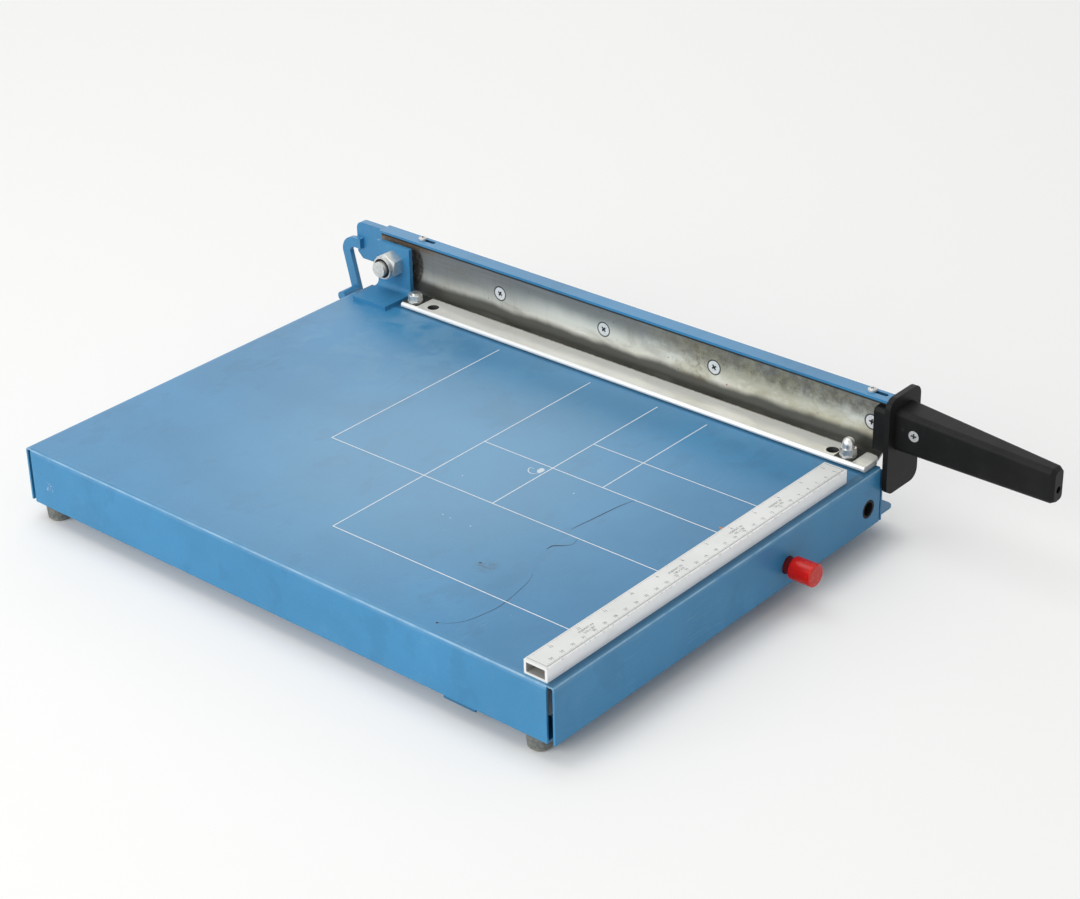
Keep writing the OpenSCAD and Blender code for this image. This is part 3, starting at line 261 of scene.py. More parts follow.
def enamel(name, seed, gloss=0.25, coat=0.03, overlay=None):
    """Satin stove enamel: faint orange peel, hazy wiped areas, hairline scratches and dust."""
    m = Mat(name, specular=gloss, coat=coat, coat_rough=0.25)
    move = (seed * 71.0, seed * 37.0, seed * 53.0)
    cloud = m.rise(m.noise(0.011, 4.0, shift=move), 0.3, 0.7)
    grain = m.noise(1.1, 2.0, shift=move)
    colour = m.mix(cloud, shade(BLUE, 0.92), shade(BLUE, 1.08))
    damp = m.rise(m.noise(0.022, 5.0, 0.6, stretch=(1, 1.5, 1), shift=move[::-1]), 0.56, 0.62)
    colour = m.mix(m.mul(damp, 0.16), colour, shade(BLUE, 0.55))
    colour = m.mix(m.rise(grain, 0.35, 0.75, 0.0, 0.07), colour, PALE_BLUE)
    haze = m.rise(m.noise(0.03, 7.0, 0.66, shift=move, bend=0.5), 0.53, 0.74)
    colour = m.mix(m.mul(haze, 0.10), colour, PALE_BLUE)
    lines = m.most(m.scratches((0, 0, 31), move), m.scratches((0, 0, -52), move[::-1], 1.9, 0.60))
    colour = m.mix(m.mul(lines, 0.22), colour, (0.34, 0.50, 0.64))
    dust = m.rise(m.cells(0.09, move), 0.045, 0.02)
    colour = m.mix(m.mul(dust, 0.25), colour, (0.40, 0.52, 0.60))
    rough = m.add(m.rise(haze, 0.0, 1.0, 0.32, 0.44), m.mul(lines, 0.10))
    # This step adds the part's own marks, and also paints shade, shadow, highlight and sheen on the table
    # and shade in the cover slots.
    if overlay:
        colour, rough = overlay(m, colour, rough)
    peel = m.add(m.noise(0.45, 2.0, shift=move), m.mul(lines, -0.35))
    return m.done(colour, rough, peel, 0.16, 0.09)


def table_edges(m, colour):
    """Bends rubbed pale, with a painted highlight along their crest, painted shade on the lug below the
    walls, and walls that are nicked along their lower edge.
    """
    bends = m.fall(m.far((m.x, LEFT_X + BEND), (m.z, -BEND)), 1.4, 3.2)
    for y in (FRONT_Y + BEND, REAR_Y - BEND):
        bends = m.most(bends, m.fall(m.far((m.y, y), (m.z, -BEND)), 1.4, 3.2))
    worn = m.rise(m.noise(0.05, 6.0, 0.7), 0.30, 0.75, 0.06, 0.26)
    colour = m.mix(m.mul(bends, worn), colour, PALE_BLUE)
    # Painted highlight along the crest of the left and front bends.
    crest_highlight = m.fall(m.far((m.x, LEFT_X + CREST), (m.z, -CREST)), 0.25, 0.9)
    crest_highlight = m.most(crest_highlight, m.fall(m.far((m.y, FRONT_Y + CREST), (m.z, -CREST)), 0.25, 0.9))
    bright = m.rise(m.noise(0.04, 5.0, 0.7), 0.3, 0.6, 0.10, 0.42)
    colour = m.mix(m.mul(crest_highlight, bright), colour, (0.52, 0.68, 0.78))
    # Painted shade on the lug below the walls' lower edge.
    colour = m.mix(m.fall(m.z, -WALL_H - 0.3, -WALL_H - 0.1, 0.65), colour, shade(BLUE, 0.35))
    low = m.fall(m.z, -WALL_H + 0.3, -WALL_H + 1.6)
    nick = m.mul(m.most(low, m.mul(bends, 0.5)), m.rise(m.noise(0.35, 5.0, 0.7), 0.67, 0.72))
    return m.mix(m.mul(nick, 0.7), colour, (0.50, 0.54, 0.55))


def table_wear(m, colour, rough):
    """The table's edges and the marks on its top: grease, wiped ink, a worn patch that is also a painted
    pool of sheen, painted shade to the front and in the spare holes, and painted shadow by the ruler and the
    clamp.
    """
    colour = table_edges(m, colour)
    top = m.rise(m.z, *TOP_Z)
    grease = m.rise(m.noise(0.035, 4.0, 0.6, bend=0.4), 0.44, 0.62)
    grease = m.mul(top, m.mul(grease, m.spot(GREASE_AT, GREASE_R, 0.1)))
    colour = m.mix(m.mul(grease, 0.30), colour, (0.24, 0.40, 0.53))
    wiped = m.rise(m.noise(0.22, 6.0, 0.72, stretch=(1, 0.6, 1)), 0.42, 0.58)
    wiped = m.mul(top, m.mul(wiped, m.spot(WIPED_AT, WIPED_R, 0.2)))
    colour = m.mix(m.mul(wiped, 0.55), colour, (0.03, 0.07, 0.11))
    # A paler patch in the middle of the top: wear, and also a painted pool of sheen.
    worn_sheen = m.mul(top, m.spot(WORN_SHEEN_AT, WORN_SHEEN_R, 0.15))
    colour = m.mix(m.mul(worn_sheen, 0.23), colour, (0.36, 0.55, 0.66))
    # Painted shade towards the front of the top.
    fore_shade = m.mul(top, m.fall(m.y, *FORE_Y))
    colour = m.mix(m.mul(fore_shade, 0.20), colour, shade(BLUE, 0.45))
    # Painted shadow on the top in front of the ruler and beside the clamp strip.
    ruler_shadow = m.mul(m.rise(m.y, FRONT_Y - 0.1, FRONT_Y + 3.5), m.fall(m.y, 0.1 - RULER_W, 0.8 - RULER_W))
    clamp_shadow = m.mul(m.rise(m.x, CLAMP_X[0] - 3.4, CLAMP_X[0] - 0.6), m.rise(m.y, -RULER_W, 1.0 - RULER_W))
    ruler_clamp_shadow = m.mul(top, m.most(ruler_shadow, clamp_shadow))
    colour = m.mix(m.mul(ruler_clamp_shadow, 0.6), colour, shade(BLUE, 0.35))
    # Painted shade in the spare holes.
    for x, y in SPARES:
        hole_shade = m.fall(m.far((m.x, x), (m.y, y)), SPARE_R + 0.4, SPARE_R + 0.8)
        colour = m.mix(m.mul(hole_shade, 0.95), colour, (0.008, 0.01, 0.012))
    chip = m.mul(m.spot(CHIP_AT, CHIP_R), m.rise(m.noise(0.5, 5.0, 0.7), 0.54, 0.60))
    colour = m.mix(m.mul(chip, 0.8), colour, (0.52, 0.58, 0.62))
    return colour, m.add(rough, m.mul(grease, 0.12))


def cover_slots(m, colour, rough):
    """Shade inside the slots of the cover strip."""
    top = COVER_Z + COVER_T
    for x, y in COVER_SCREWS:
        across = m.fall(m.far((m.x, x)), 1.95, 2.05)
        along = m.mul(m.rise(m.y, y - COVER_SLOT - 2.2, y - COVER_SLOT - 2.0), m.fall(m.y, y + 2.0, y + 2.2))
        deep = m.mul(m.rise(m.z, COVER_Z - 0.3, COVER_Z - 0.2), m.fall(m.z, top - 0.25, top - 0.1))
        colour = m.mix(m.mul(m.mul(across, along), m.mul(deep, 0.7)), colour, (0.012, 0.03, 0.05))
    return colour, rough


# Steel
def blade_metal():
    """Ground steel: grey under the cover, a bright band, a dark one near the table, stains, grime, rust, and
    a painted shadow under the cover.
    """
    m = Mat("blade_steel", metallic=0.4, specular=0.35)
    brush = m.noise(1.6, 3.0, 0.6, stretch=(1, 0.012, 1))
    cloud = m.noise(0.035, 6.0, 0.65, stretch=(1, 0.6, 1.5), bend=0.6)
    sway = m.rise(m.noise(0.025, 4.0, 0.6, stretch=(1, 0.5, 0.3)), 0.25, 0.75, -2.2, 2.2)
    height = m.add(m.z, sway)
    colour = m.mix(m.rise(height, *GREY_Z), (0.82, 0.805, 0.71), (0.235, 0.235, 0.22))
    dull = m.mul(m.rise(m.y, *DULL_Y), m.rise(height, *DULL_Z, 0.45, 0.9))
    colour = m.mix(dull, colour, (0.205, 0.203, 0.192))
    colour = m.mix(m.rise(brush, 0.3, 0.75, 0.0, 0.10), colour, (0.74, 0.74, 0.70))
    stain = m.rise(cloud, 0.48, 0.68)
    colour = m.mix(m.mul(stain, 0.32), colour, (0.15, 0.145, 0.115))
    colour = blade_age(m, colour, height)
    colour = blade_bands(m, colour, height, cloud)
    spots = m.mul(m.rise(m.cells(0.16, (9, 4, 7)), 0.13, 0.05), m.rise(m.noise(0.03, 3.0), 0.45, 0.6))
    colour = m.mix(m.mul(spots, 0.65), colour, (0.06, 0.055, 0.045))
    rust = m.mul(m.spot(RUST_AT, RUST_R, 0.1), m.rise(m.noise(0.14, 7.0, 0.72), 0.46, 0.66, 0.0, 0.8))
    rear = m.mul(m.rise(m.y, *PIVOT_RUST_Y), m.rise(m.z, *PIVOT_RUST_Z))
    rust = m.most(rust, m.mul(rear, m.rise(m.noise(0.3, 6.0, 0.7), 0.25, 0.5)))
    brown = m.mix(m.noise(0.6, 4.0), (0.08, 0.05, 0.03), (0.23, 0.15, 0.08))
    colour = m.mix(m.mul(rust, 0.85), colour, brown)
    colour = blade_seams(m, colour)
    marks = m.add(m.mul(stain, 0.12), m.mul(rust, 0.30))
    rough = m.add(m.rise(brush, 0.3, 0.7, 0.30, 0.40), marks)
    return m.done(colour, rough, m.add(m.mul(brush, 0.4), m.mul(rust, -0.5)), 0.15, 0.03)


def blade_age(m, colour, height):
    """Tan and mottled towards the handle, streaked towards the pivot."""
    aged = m.fall(m.y, *AGED_Y)
    tan = m.rise(m.noise(0.05, 6.0, 0.66, stretch=(1, 0.6, 1), shift=(5, 9, 2)), 0.32, 0.60)
    colour = m.mix(m.mul(m.mul(aged, tan), 0.58), colour, (0.40, 0.355, 0.20))
    mottle = m.rise(m.noise(0.13, 7.0, 0.74, shift=(2, 5, 8)), 0.36, 0.62)
    mottle = m.mul(m.mul(aged, m.rise(height, *MOTTLED_Z)), mottle)
    colour = m.mix(m.mul(mottle, 0.72), colour, (0.14, 0.118, 0.09))
    streak = m.rise(m.noise(0.35, 4.0, 0.7, stretch=(1, 1, 0.06)), 0.5, 0.7)
    streak = m.mul(m.rise(m.y, *STREAKED_Y), streak)
    return m.mix(m.mul(streak, 0.22), colour, (0.16, 0.16, 0.15))


def blade_bands(m, colour, height, cloud):
    """A dull outer face, a dark band on the cutting face, a rubbed lower part and a bright bevel."""
    outer = m.rise(m.x, *OUTER_X)
    colour = m.mix(outer, colour, m.mix(cloud, (0.20, 0.20, 0.19), (0.42, 0.42, 0.40)))
    band = m.mul(m.fall(height, *DARK_Z), m.fall(outer, 0.0, 1.0))
    colour = m.mix(band, colour, (0.092, 0.094, 0.084))
    rubbed = m.fall(m.add(height, m.mul(cloud, 6.0)), *RUBBED_Z)
    colour = m.mix(m.mul(rubbed, 0.75), colour, (0.24, 0.243, 0.23))
    return m.mix(m.fall(m.z, BEVEL_Z - 0.3, BEVEL_Z, 0.8), colour, (0.46, 0.465, 0.45))


def blade_seams(m, colour):
    """Old grease round the pivot, painted shadow under the cover, dark rings round the screws, and a red
    dot.
    """
    arc = m.far((m.y, PIVOT_Y), (m.z, PIVOT_Z))
    ring = m.mul(m.fall(arc, *PIVOT_GREASE_R), m.fall(m.z, *PIVOT_RUST_Z))
    thick = m.rise(m.noise(0.35, 5.0), 0.3, 0.6, 0.6, 0.92)
    colour = m.mix(m.mul(ring, thick), colour, (0.045, 0.038, 0.028))
    # Painted shadow under the cover, and dark rings round the screw heads.
    cover_shadow_and_rings = m.rise(m.z, COVER_Z - 3.2, COVER_Z - 2.6)
    for y in BLADE_SCREWS_Y:
        rim = m.far((m.y, y), (m.z, BLADE_SCREW_Z))
        cover_shadow_and_rings = m.most(cover_shadow_and_rings, m.fall(rim, BLADE_HEAD_R + 0.8, BLADE_HEAD_R + 1.2))
    colour = m.mix(m.mul(cover_shadow_and_rings, 0.92), colour, (0.03, 0.029, 0.026))
    return m.mix(m.mul(m.spot(RED_DOT_AT, RED_DOT_R), 0.8), colour, (0.35, 0.03, 0.02))


def edge_metal():
    """Ground face of the fixed blade, streaked along its length and brown at the seams."""
    m = Mat("fixed_blade_steel", metallic=0.9)
    brush = m.noise(1.6, 3.0, 0.6, stretch=(1, 0.012, 1))
    colour = m.mix(m.rise(brush, 0.3, 0.7), (0.34, 0.345, 0.33), (0.52, 0.525, 0.50))
    brown = m.rise(m.noise(0.12, 6.0, 0.7, stretch=(1, 0.3, 1)), 0.45, 0.66)
    colour = m.mix(m.mul(brown, 0.5), colour, (0.16, 0.11, 0.065))
    return m.done(colour, m.rise(brown, 0.0, 1.0, 0.28, 0.5), brush, 0.15, 0.03)


def clamp_metal():
    """Bright rolled strip with rub marks, dull patches and small pits, a painted highlight on its rolled
    edge and painted shade in its holes.
    """
    m = Mat("clamp_strip_metal", metallic=0.22, specular=0.6)
    grain = m.noise(1.2, 3.0, 0.6, stretch=(1, 0.02, 1))
    colour = m.mix(m.rise(grain, 0.3, 0.7), (0.70, 0.705, 0.675), (0.77, 0.775, 0.745))
    film = m.rise(m.noise(0.045, 7.0, 0.7, stretch=(1, 0.5, 1), bend=0.7), 0.46, 0.70)
    colour = m.mix(m.mul(film, 0.30), colour, (0.56, 0.55, 0.49))
    rub = m.scratches((0, 0, 12), (4, 8, 1), 1.2, 0.50)
    rub = m.most(rub, m.scratches((0, 0, 74), (9, 2, 5), 1.6, 0.55))
    colour = m.mix(m.mul(rub, 0.4), colour, (0.42, 0.42, 0.38))
    pits = m.mul(m.rise(m.cells(0.16, (2, 6, 1)), 0.10, 0.04), m.rise(m.noise(0.04, 3.0), 0.48, 0.62))
    colour = m.mix(m.mul(pits, 0.55), colour, (0.20, 0.19, 0.16))
    # Painted highlight on the rolled edge.
    edge = m.fall(m.x, CLAMP_X[0] + 1.2, CLAMP_X[0] + 2.0)
    colour = m.mix(m.mul(edge, 0.85), colour, (0.95, 0.955, 0.95))
    brown = m.rise(m.noise(0.3, 5.0, 0.7), 0.3, 0.55)
    brown = m.mul(m.rise(m.x, CLAMP_X[1] - 1.3, CLAMP_X[1] - 0.5), brown)
    colour = m.mix(m.mul(brown, 0.75), colour, (0.22, 0.16, 0.09))
    # Painted shade in the holes of the strip.
    under = m.fall(m.z, CLAMP_TOP - 0.25, CLAMP_TOP - 0.1)
    for x, y in SPARES:
        hole_shade = m.fall(m.far((m.x, x), (m.y, y)), SPARE_R + 0.1, SPARE_R + 0.2)
        colour = m.mix(m.mul(m.mul(hole_shade, under), 0.9), colour, (0.03, 0.03, 0.028))
    rough = m.add(m.rise(film, 0.0, 1.0, 0.05, 0.11), m.add(m.mul(rub, 0.10), m.mul(edge, 0.12)))
    return m.done(colour, rough, m.add(m.mul(grain, 0.4), m.mul(rub, -0.6)), 0.05, 0.015)


def plated(name, tint, low=0.28, high=0.42, dirt=0.25, metallic=0.9, recess=None):
    """Zinc plating: bright with a cloudy bloom, dirt in small marks, and painted shade in a screw's recess.
    """
    m = Mat(name, metallic=metallic)
    bloom = m.rise(m.noise(0.35, 5.0, 0.65), 0.35, 0.7)
    colour = m.mix(bloom, tint, shade(tint, 0.80))
    grime = m.rise(m.noise(0.9, 5.0, 0.7, shift=(8, 3, 5)), 0.56, 0.72)
    colour = m.mix(m.mul(grime, dirt), colour, (0.20, 0.19, 0.16))
    # Painted shade in the screw's recess.
    if recess:
        colour = m.mix(m.mul(recess(m), 0.92), colour, (0.02, 0.02, 0.018))
    return m.done(colour, m.rise(bloom, 0.0, 1.0, low, high), m.noise(1.8, 3.0), 0.12, 0.03)


def blade_recess(m):
    """The cross recesses in the blade's countersunk heads."""
    return m.rise(m.x, 0.3, 0.5)


def handle_recess(m):
    """The cross recess in the handle's screw."""
    return m.rise(m.x, HANDLE_SCREW_X + 0.2, HANDLE_SCREW_X + 0.4)


def cover_recess(m):
    """The cross recesses in the domed heads on the cover."""
    total = 0.0
    for x, y in COVER_SCREWS:
        total = m.most(m.fall(m.far((m.x, x), (m.y, y)), 1.42, 1.5), total)
    top = COVER_Z + COVER_T
    return m.mul(total, m.fall(m.z, top + 1.72, top + 1.85))


# Plastic, rubber, lacquer and print
def moulded(name, base, rough, overlay, grain=2.2, depth=0.05):
    """Moulded plastic or rubber with a fine spark-eroded grain, rubbed lighter in places."""
    m = Mat(name, specular=0.14)
    cloud = m.rise(m.noise(0.05, 5.0, 0.6), 0.35, 0.68)
    colour = m.mix(cloud, shade(base, 0.85), shade(base, 1.15))
    rub = m.rise(m.noise(0.12, 7.0, 0.72, bend=0.8), 0.58, 0.74)
    lines = m.scratches((20, 0, 15), (3, 7, 2), 1.4, 0.5)
    lines = m.most(lines, m.scratches((0, 25, 80), (6, 1, 9), 1.8, 0.54))
    mark = m.most(m.mul(rub, 0.6), lines)
    colour = m.mix(m.mul(mark, 0.4), colour, overlay)
    fine = m.noise(grain, 2.0, 0.6)
    tone = m.add(m.rise(rub, 0.0, 1.0, rough, rough + 0.10), m.rise(fine, 0.3, 0.7, -0.03, 0.03))
    return m.done(colour, tone, m.add(fine, m.mul(lines, -0.4)), 0.30, depth)


def white_paint():
    """White lacquer on the ruler, yellowed in patches, with grey finger marks, a broken dark line along the
    front edge, painted light on the front face and painted shade on the inner faces.
    """
    m = Mat("ruler_lacquer", specular=0.45)
    cloud = m.rise(m.noise(0.02, 5.0, 0.6), 0.3, 0.7)
    colour = m.mix(cloud, (0.68, 0.695, 0.68), (0.76, 0.77, 0.765))
    # Painted light: the front face is lighter than the top.
    colour = m.mix(m.fall(m.y, -RULER_W + 0.15, -RULER_W + 0.35), colour, (0.96, 0.97, 0.98))
    marks = m.rise(m.noise(0.07, 7.0, 0.7, bend=0.8), 0.56, 0.74)
    colour = m.mix(m.mul(marks, 0.22), colour, (0.50, 0.50, 0.45))
    edge = m.fall(m.far((m.y, -RULER_W), (m.z, RULER_TOP)), 0.2, 1.1)
    edge = m.mul(edge, m.rise(m.noise(0.3, 5.0, 0.7), 0.5, 0.62))
    colour = m.mix(m.mul(edge, 0.6), colour, (0.40, 0.41, 0.41))
    # Painted shade on the ruler's inner faces.
    thin, thick = RULER_WALL
    inside = m.mul(m.rise(m.z, thin, thick), m.fall(m.z, RULER_TOP - thick, RULER_TOP - thin))
    across = m.mul(m.rise(m.y, thin - RULER_W, thick - RULER_W), m.fall(m.y, -thick, -thin))
    inside = m.mul(inside, across)
    colour = m.mix(m.mul(inside, 0.85), colour, (0.22, 0.205, 0.18))
    return m.done(colour, m.rise(marks, 0.0, 1.0, 0.32, 0.46), m.noise(0.8, 3.0), 0.10, 0.04)


def red_plastic():
    """Glossy red knob with a rubbed face, a neck darkened by grime and painted shade, and a few nicks."""
    m = Mat("knob_red", specular=0.24, coat=0.06, coat_rough=0.1)
    cloud = m.rise(m.noise(0.12, 4.0), 0.3, 0.7)
    colour = m.mix(cloud, (0.53, 0.008, 0.005), (0.61, 0.010, 0.006))
    face = m.fall(m.y, *KNOB_FACE_Y)
    rub = m.rise(m.noise(0.4, 6.0, 0.7), 0.45, 0.68)
    colour = m.mix(m.mul(face, m.rise(rub, 0.0, 1.0, 0.08, 0.22)), colour, (0.60, 0.10, 0.07))
    # The neck is darkened by grime and by painted shade.
    colour = m.mix(m.rise(m.y, *KNOB_NECK_Y, 0.0, 0.85), colour, (0.05, 0.008, 0.008))
    nick = m.rise(m.cells(0.35, (1, 2, 3)), 0.12, 0.05)
    colour = m.mix(m.mul(nick, 0.35), colour, (0.25, 0.02, 0.02))
    return m.done(colour, m.rise(rub, 0.0, 1.0, 0.16, 0.30), m.noise(0.9, 3.0), 0.08, 0.04)


def foot_rubber():
    """Grey rubber, mottled and dusty, with picked-up grit."""
    m = Mat("foot_grey_rubber", specular=0.3)
    mottle = m.rise(m.noise(0.45, 6.0, 0.7), 0.32, 0.68)
    colour = m.mix(mottle, (0.092, 0.100, 0.092), (0.216, 0.224, 0.208))
    grit = m.rise(m.cells(0.6, (4, 1, 6)), 0.22, 0.10)
    colour = m.mix(m.mul(grit, 0.5), colour, (0.05, 0.05, 0.045))
    low = m.fall(m.z, *SOLE_Z)
    colour = m.mix(m.mul(low, 0.4), colour, (0.34, 0.34, 0.31))
    return m.done(colour, m.rise(mottle, 0.0, 1.0, 0.62, 0.82), m.noise(1.6, 4.0, 0.7), 0.45, 0.15)


def printed(name, colour, worn, rough=0.5):
    """Screen print, thin and broken where it has been rubbed."""
    m = Mat(name, specular=0.35)
    rub = m.rise(m.noise(0.35, 6.0, 0.72), 0.50, 0.72)
    tone = m.mix(m.mul(rub, 0.55), colour, worn)
    return m.done(tone, m.rise(rub, 0.0, 1.0, rough, rough + 0.12), m.noise(2.0, 3.0), 0.10, 0.02)


# The materials that share a function, and which node has which material
HEAD = {"low": 0.36, "high": 0.48, "dirt": 0.14, "metallic": 0.35}
top_blue = enamel("top_enamel", seed=1.0, gloss=0.33, coat=0.08, overlay=table_wear)
wall_blue = enamel("wall_enamel", seed=1.0, gloss=0.24, coat=0.03, overlay=table_wear)
arm_blue = enamel("arm_enamel", seed=2.3, gloss=0.32, coat=0.05, overlay=cover_slots)
hidden_blue = enamel("bracket_enamel", seed=3.7)
zinc = plated("zinc_bright", (0.76, 0.765, 0.755))
blade_heads = plated("zinc_blade_heads", (0.86, 0.86, 0.845), **HEAD, recess=blade_recess)
cover_heads = plated("zinc_cover_heads", (0.64, 0.64, 0.63), **HEAD, recess=cover_recess)
handle_head = plated("zinc_handle_head", (0.60, 0.605, 0.60), **HEAD, recess=handle_recess)
nut_zinc = plated("zinc_nut", (0.70, 0.71, 0.69), low=0.30, high=0.42, dirt=0.18, metallic=0.8)
spring_wire = plated("spring_wire", (0.40, 0.40, 0.39), low=0.22, high=0.34, dirt=0.5)
bronze = plated("bush_bronze", (0.52, 0.36, 0.17), low=0.3, high=0.45, dirt=0.4)
black = moulded("handle_black", (0.0092, 0.0096, 0.0092), rough=0.46, overlay=(0.055, 0.055, 0.053))
bush_black = moulded("bush_black", (0.012, 0.012, 0.013), rough=0.5, overlay=(0.06, 0.06, 0.06))
pad_dark = moulded("pad_dark", (0.040, 0.042, 0.037), rough=0.62, overlay=(0.12, 0.12, 0.10),
                   grain=1.2, depth=0.08)
LOOKS = {
    top_blue: ["table_top"],
    wall_blue: ["left_wall", "front_wall", "rear_wall", "right_wall"],
    arm_blue: ["arm_bar", "top_cover", "tail_hook", "pivot_bracket", "arm_catch"],
    hidden_blue: ["crank_brackets", "lock_guide", "rear_crank", "front_crank", "tie_rod", "lock_lever"],
    blade_metal(): ["upper_blade"],
    edge_metal(): ["fixed_blade"],
    clamp_metal(): ["clamp_strip"],
    zinc: ["fixed_blade_screws", "bracket_screws", "pivot_washers", "ruler_screws", "foot_screws",
           "crank_pins", "lever_post", "catch_screws", "clamp_studs", "clamp_washers", "stud_nuts",
           "push_pin", "tie_pin", "lock_rod", "lock_collar", "lever_clip", "lift_plates", "cap_nut"],
    blade_heads: ["blade_screws"],
    cover_heads: ["cover_screws"],
    handle_head: ["handle_screw"],
    nut_zinc: ["pivot_bolt", "pivot_nut", "clamp_nut"],
    spring_wire: ["clamp_spring_front", "clamp_spring_rear", "lock_spring"],
    bronze: ["pivot_bush"],
    black: ["handle"],
    bush_black: ["nut_ring", "gauge_bush", "stud_guides"],
    pad_dark: ["clamp_pads"],
    white_paint(): ["ruler"],
    red_plastic(): ["lock_knob"],
    foot_rubber(): ["foot_front_left", "foot_rear_left", "foot_front_right", "foot_rear_right"],
}
for look, names in LOOKS.items():
    for name in names:
        node = nodes[name]
        if not node.material_slots:
            node.data.materials.append(look)
        for s in node.material_slots:
            s.material = look


def piece(name, bm, look, body):
    """Adds a mesh piece, in metres, that moves with a body."""
    mesh = bpy.data.meshes.new(name)
    bm.to_mesh(mesh)
    bm.free()
    mesh.materials.append(look)
    obj = bpy.data.objects.new(name, mesh)
    bpy.context.scene.collection.objects.link(obj)
    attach(obj, body)
    return obj


# Springs, drawn as wire coils in the CAD springs' places
WIRE_R = 0.6 * MM
WIRE_SIDES = 10
TURN_STEPS = 24
CLAMP_TURNS = 6
LOCK_TURNS = 9


def spring(name, node, axis, turns):
    """A wire coil in a CAD spring's place, wound along an axis."""
    low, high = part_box(node)
    middle = (low + high) / 2
    along = Vector(axis)
    side = Vector((1.0, 0.0, 0.0))
    other = along.cross(side)
    length = (high - low).dot(along)
    r = (high - low).x / 2 - WIRE_R
    start = middle - along * (length / 2 - WIRE_R)
    bm = bmesh.new()
    count = turns * TURN_STEPS
    rings = []
    for i in range(count + 1):
        a = 2 * math.pi * i / TURN_STEPS
        out = side * math.cos(a) + other * math.sin(a)
        centre = start + out * r + along * ((length - 2 * WIRE_R) * i / count)
        rings.append([bm.verts.new(centre + (out * math.cos(b) + along * math.sin(b)) * WIRE_R)
                      for b in (2 * math.pi * k / WIRE_SIDES for k in range(WIRE_SIDES))])
    for p, q in zip(rings, rings[1:]):
        for k in range(WIRE_SIDES):
            n = (k + 1) % WIRE_SIDES
            bm.faces.new((p[k], p[n], q[n], q[k])).smooth = True
    bm.faces.new(rings[0])
    bm.faces.new(rings[-1][::-1])
    bmesh.ops.recalc_face_normals(bm, faces=bm.faces)
    obj = piece(name, bm, spring_wire, "base")
    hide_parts(node)
    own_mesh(obj)


spring("front_coil", "clamp_spring_front", (0, 0, 1), CLAMP_TURNS)
spring("rear_coil", "clamp_spring_rear", (0, 0, 1), CLAMP_TURNS)
spring("lock_coil", "lock_spring", (0, 1, 0), LOCK_TURNS)

# Flat marks, drawn just above the table or the ruler
PRINT_Z = 0.06
STROKE_STEPS = 8
rng = random.Random(7)


def add_rect(bm, x0, y0, x1, y1, z):
    bm.faces.new([bm.verts.new(at(x, y, z)) for x, y in ((x0, y0), (x1, y0), (x1, y1), (x0, y1))])


def add_stroke(bm, width, points):
    """A pen stroke on the table, in a smooth curve through some points, thin at its ends."""
    path = []
    count = len(points)
    for i in range(count - 1):
        a, b, c, d = (Vector(points[max(0, min(count - 1, i + k))]) for k in (-1, 0, 1, 2))
        for k in range(STROKE_STEPS):
            t = k / STROKE_STEPS
            bow = (2 * a - 5 * b + 4 * c - d) * t * t + (3 * b - a - 3 * c + d) * t ** 3
            path.append(0.5 * (2 * b + (c - a) * t + bow))
    path.append(Vector(points[-1]))
    rows = []
    for i, p in enumerate(path):
        d = path[min(i + 1, len(path) - 1)] - path[max(i - 1, 0)]
        side = Vector((-d.y, d.x)).normalized()
        w = width * (0.3 + 0.7 * math.sin(math.pi * (i + 0.5) / len(path))) / 2
        rows.append([bm.verts.new(at(*(p + side * w), PRINT_Z)), bm.verts.new(at(*(p - side * w), PRINT_Z))])
    for a, b in zip(rows, rows[1:]):
        bm.faces.new((a[0], a[1], b[1], b[0]))


def add_blob(bm, cx, cy, rx, ry, turn=0.0, rough=0.2, count=14):
    """A mark on the table with an uneven rim."""
    rim = []
    for k in range(count):
        a = 2 * math.pi * k / count
        r = 1.0 + rng.uniform(-rough, rough)
        u, v = r * rx * math.cos(a), r * ry * math.sin(a)
        x = cx + u * math.cos(turn) - v * math.sin(turn)
        y = cy + u * math.sin(turn) + v * math.cos(turn)
        rim.append(bm.verts.new(at(x, y, PRINT_Z)))
    bm.faces.new(rim)


def add_text(bm, words, x, y, z, size):
    """Flat lettering, centred on a point and read from the front."""
    curve = bpy.data.curves.new("words", "FONT")
    curve.body = words
    curve.size = size * MM
    curve.align_x, curve.align_y = "CENTER", "CENTER"
    curve.resolution_u = 3
    obj = bpy.data.objects.new("words", curve)
    bpy.context.scene.collection.objects.link(obj)
    bpy.context.view_layer.update()
    mesh = bpy.data.meshes.new_from_object(obj.evaluated_get(bpy.context.evaluated_depsgraph_get()))
    mesh.transform(Matrix.Translation(at(x, y, z)))
    bm.from_mesh(mesh)
    bpy.data.objects.remove(obj)
    bpy.data.curves.remove(curve)
    bpy.data.meshes.remove(mesh)


# Paper-size lines printed on the table: across at a y from an x, and along at an x up to a y
LINE_W = 0.8
LINE_END = -34.0
LINE_START = 0.3
CROSSING = 0.02
ACROSS = ((297.0, -210.0), (210.0, -297.0), (148.5, -210.0), (105.0, -148.5))
ALONG = ((-210.0, 297.0), (-297.0, 210.0), (-148.5, 210.0), (-105.0, 148.5))
bm = bmesh.new()
for y, x in ACROSS:
    add_rect(bm, x - LINE_W / 2, y - LINE_W / 2, LINE_END, y + LINE_W / 2, PRINT_Z)
for x, y in ALONG:
    add_rect(bm, x - LINE_W / 2, LINE_START, x + LINE_W / 2, y - LINE_W / 2, PRINT_Z + CROSSING)
grid_white = printed("grid_white", (0.72, 0.78, 0.82), (0.42, 0.55, 0.66))
piece("grid_lines", bm, grid_white, "base")

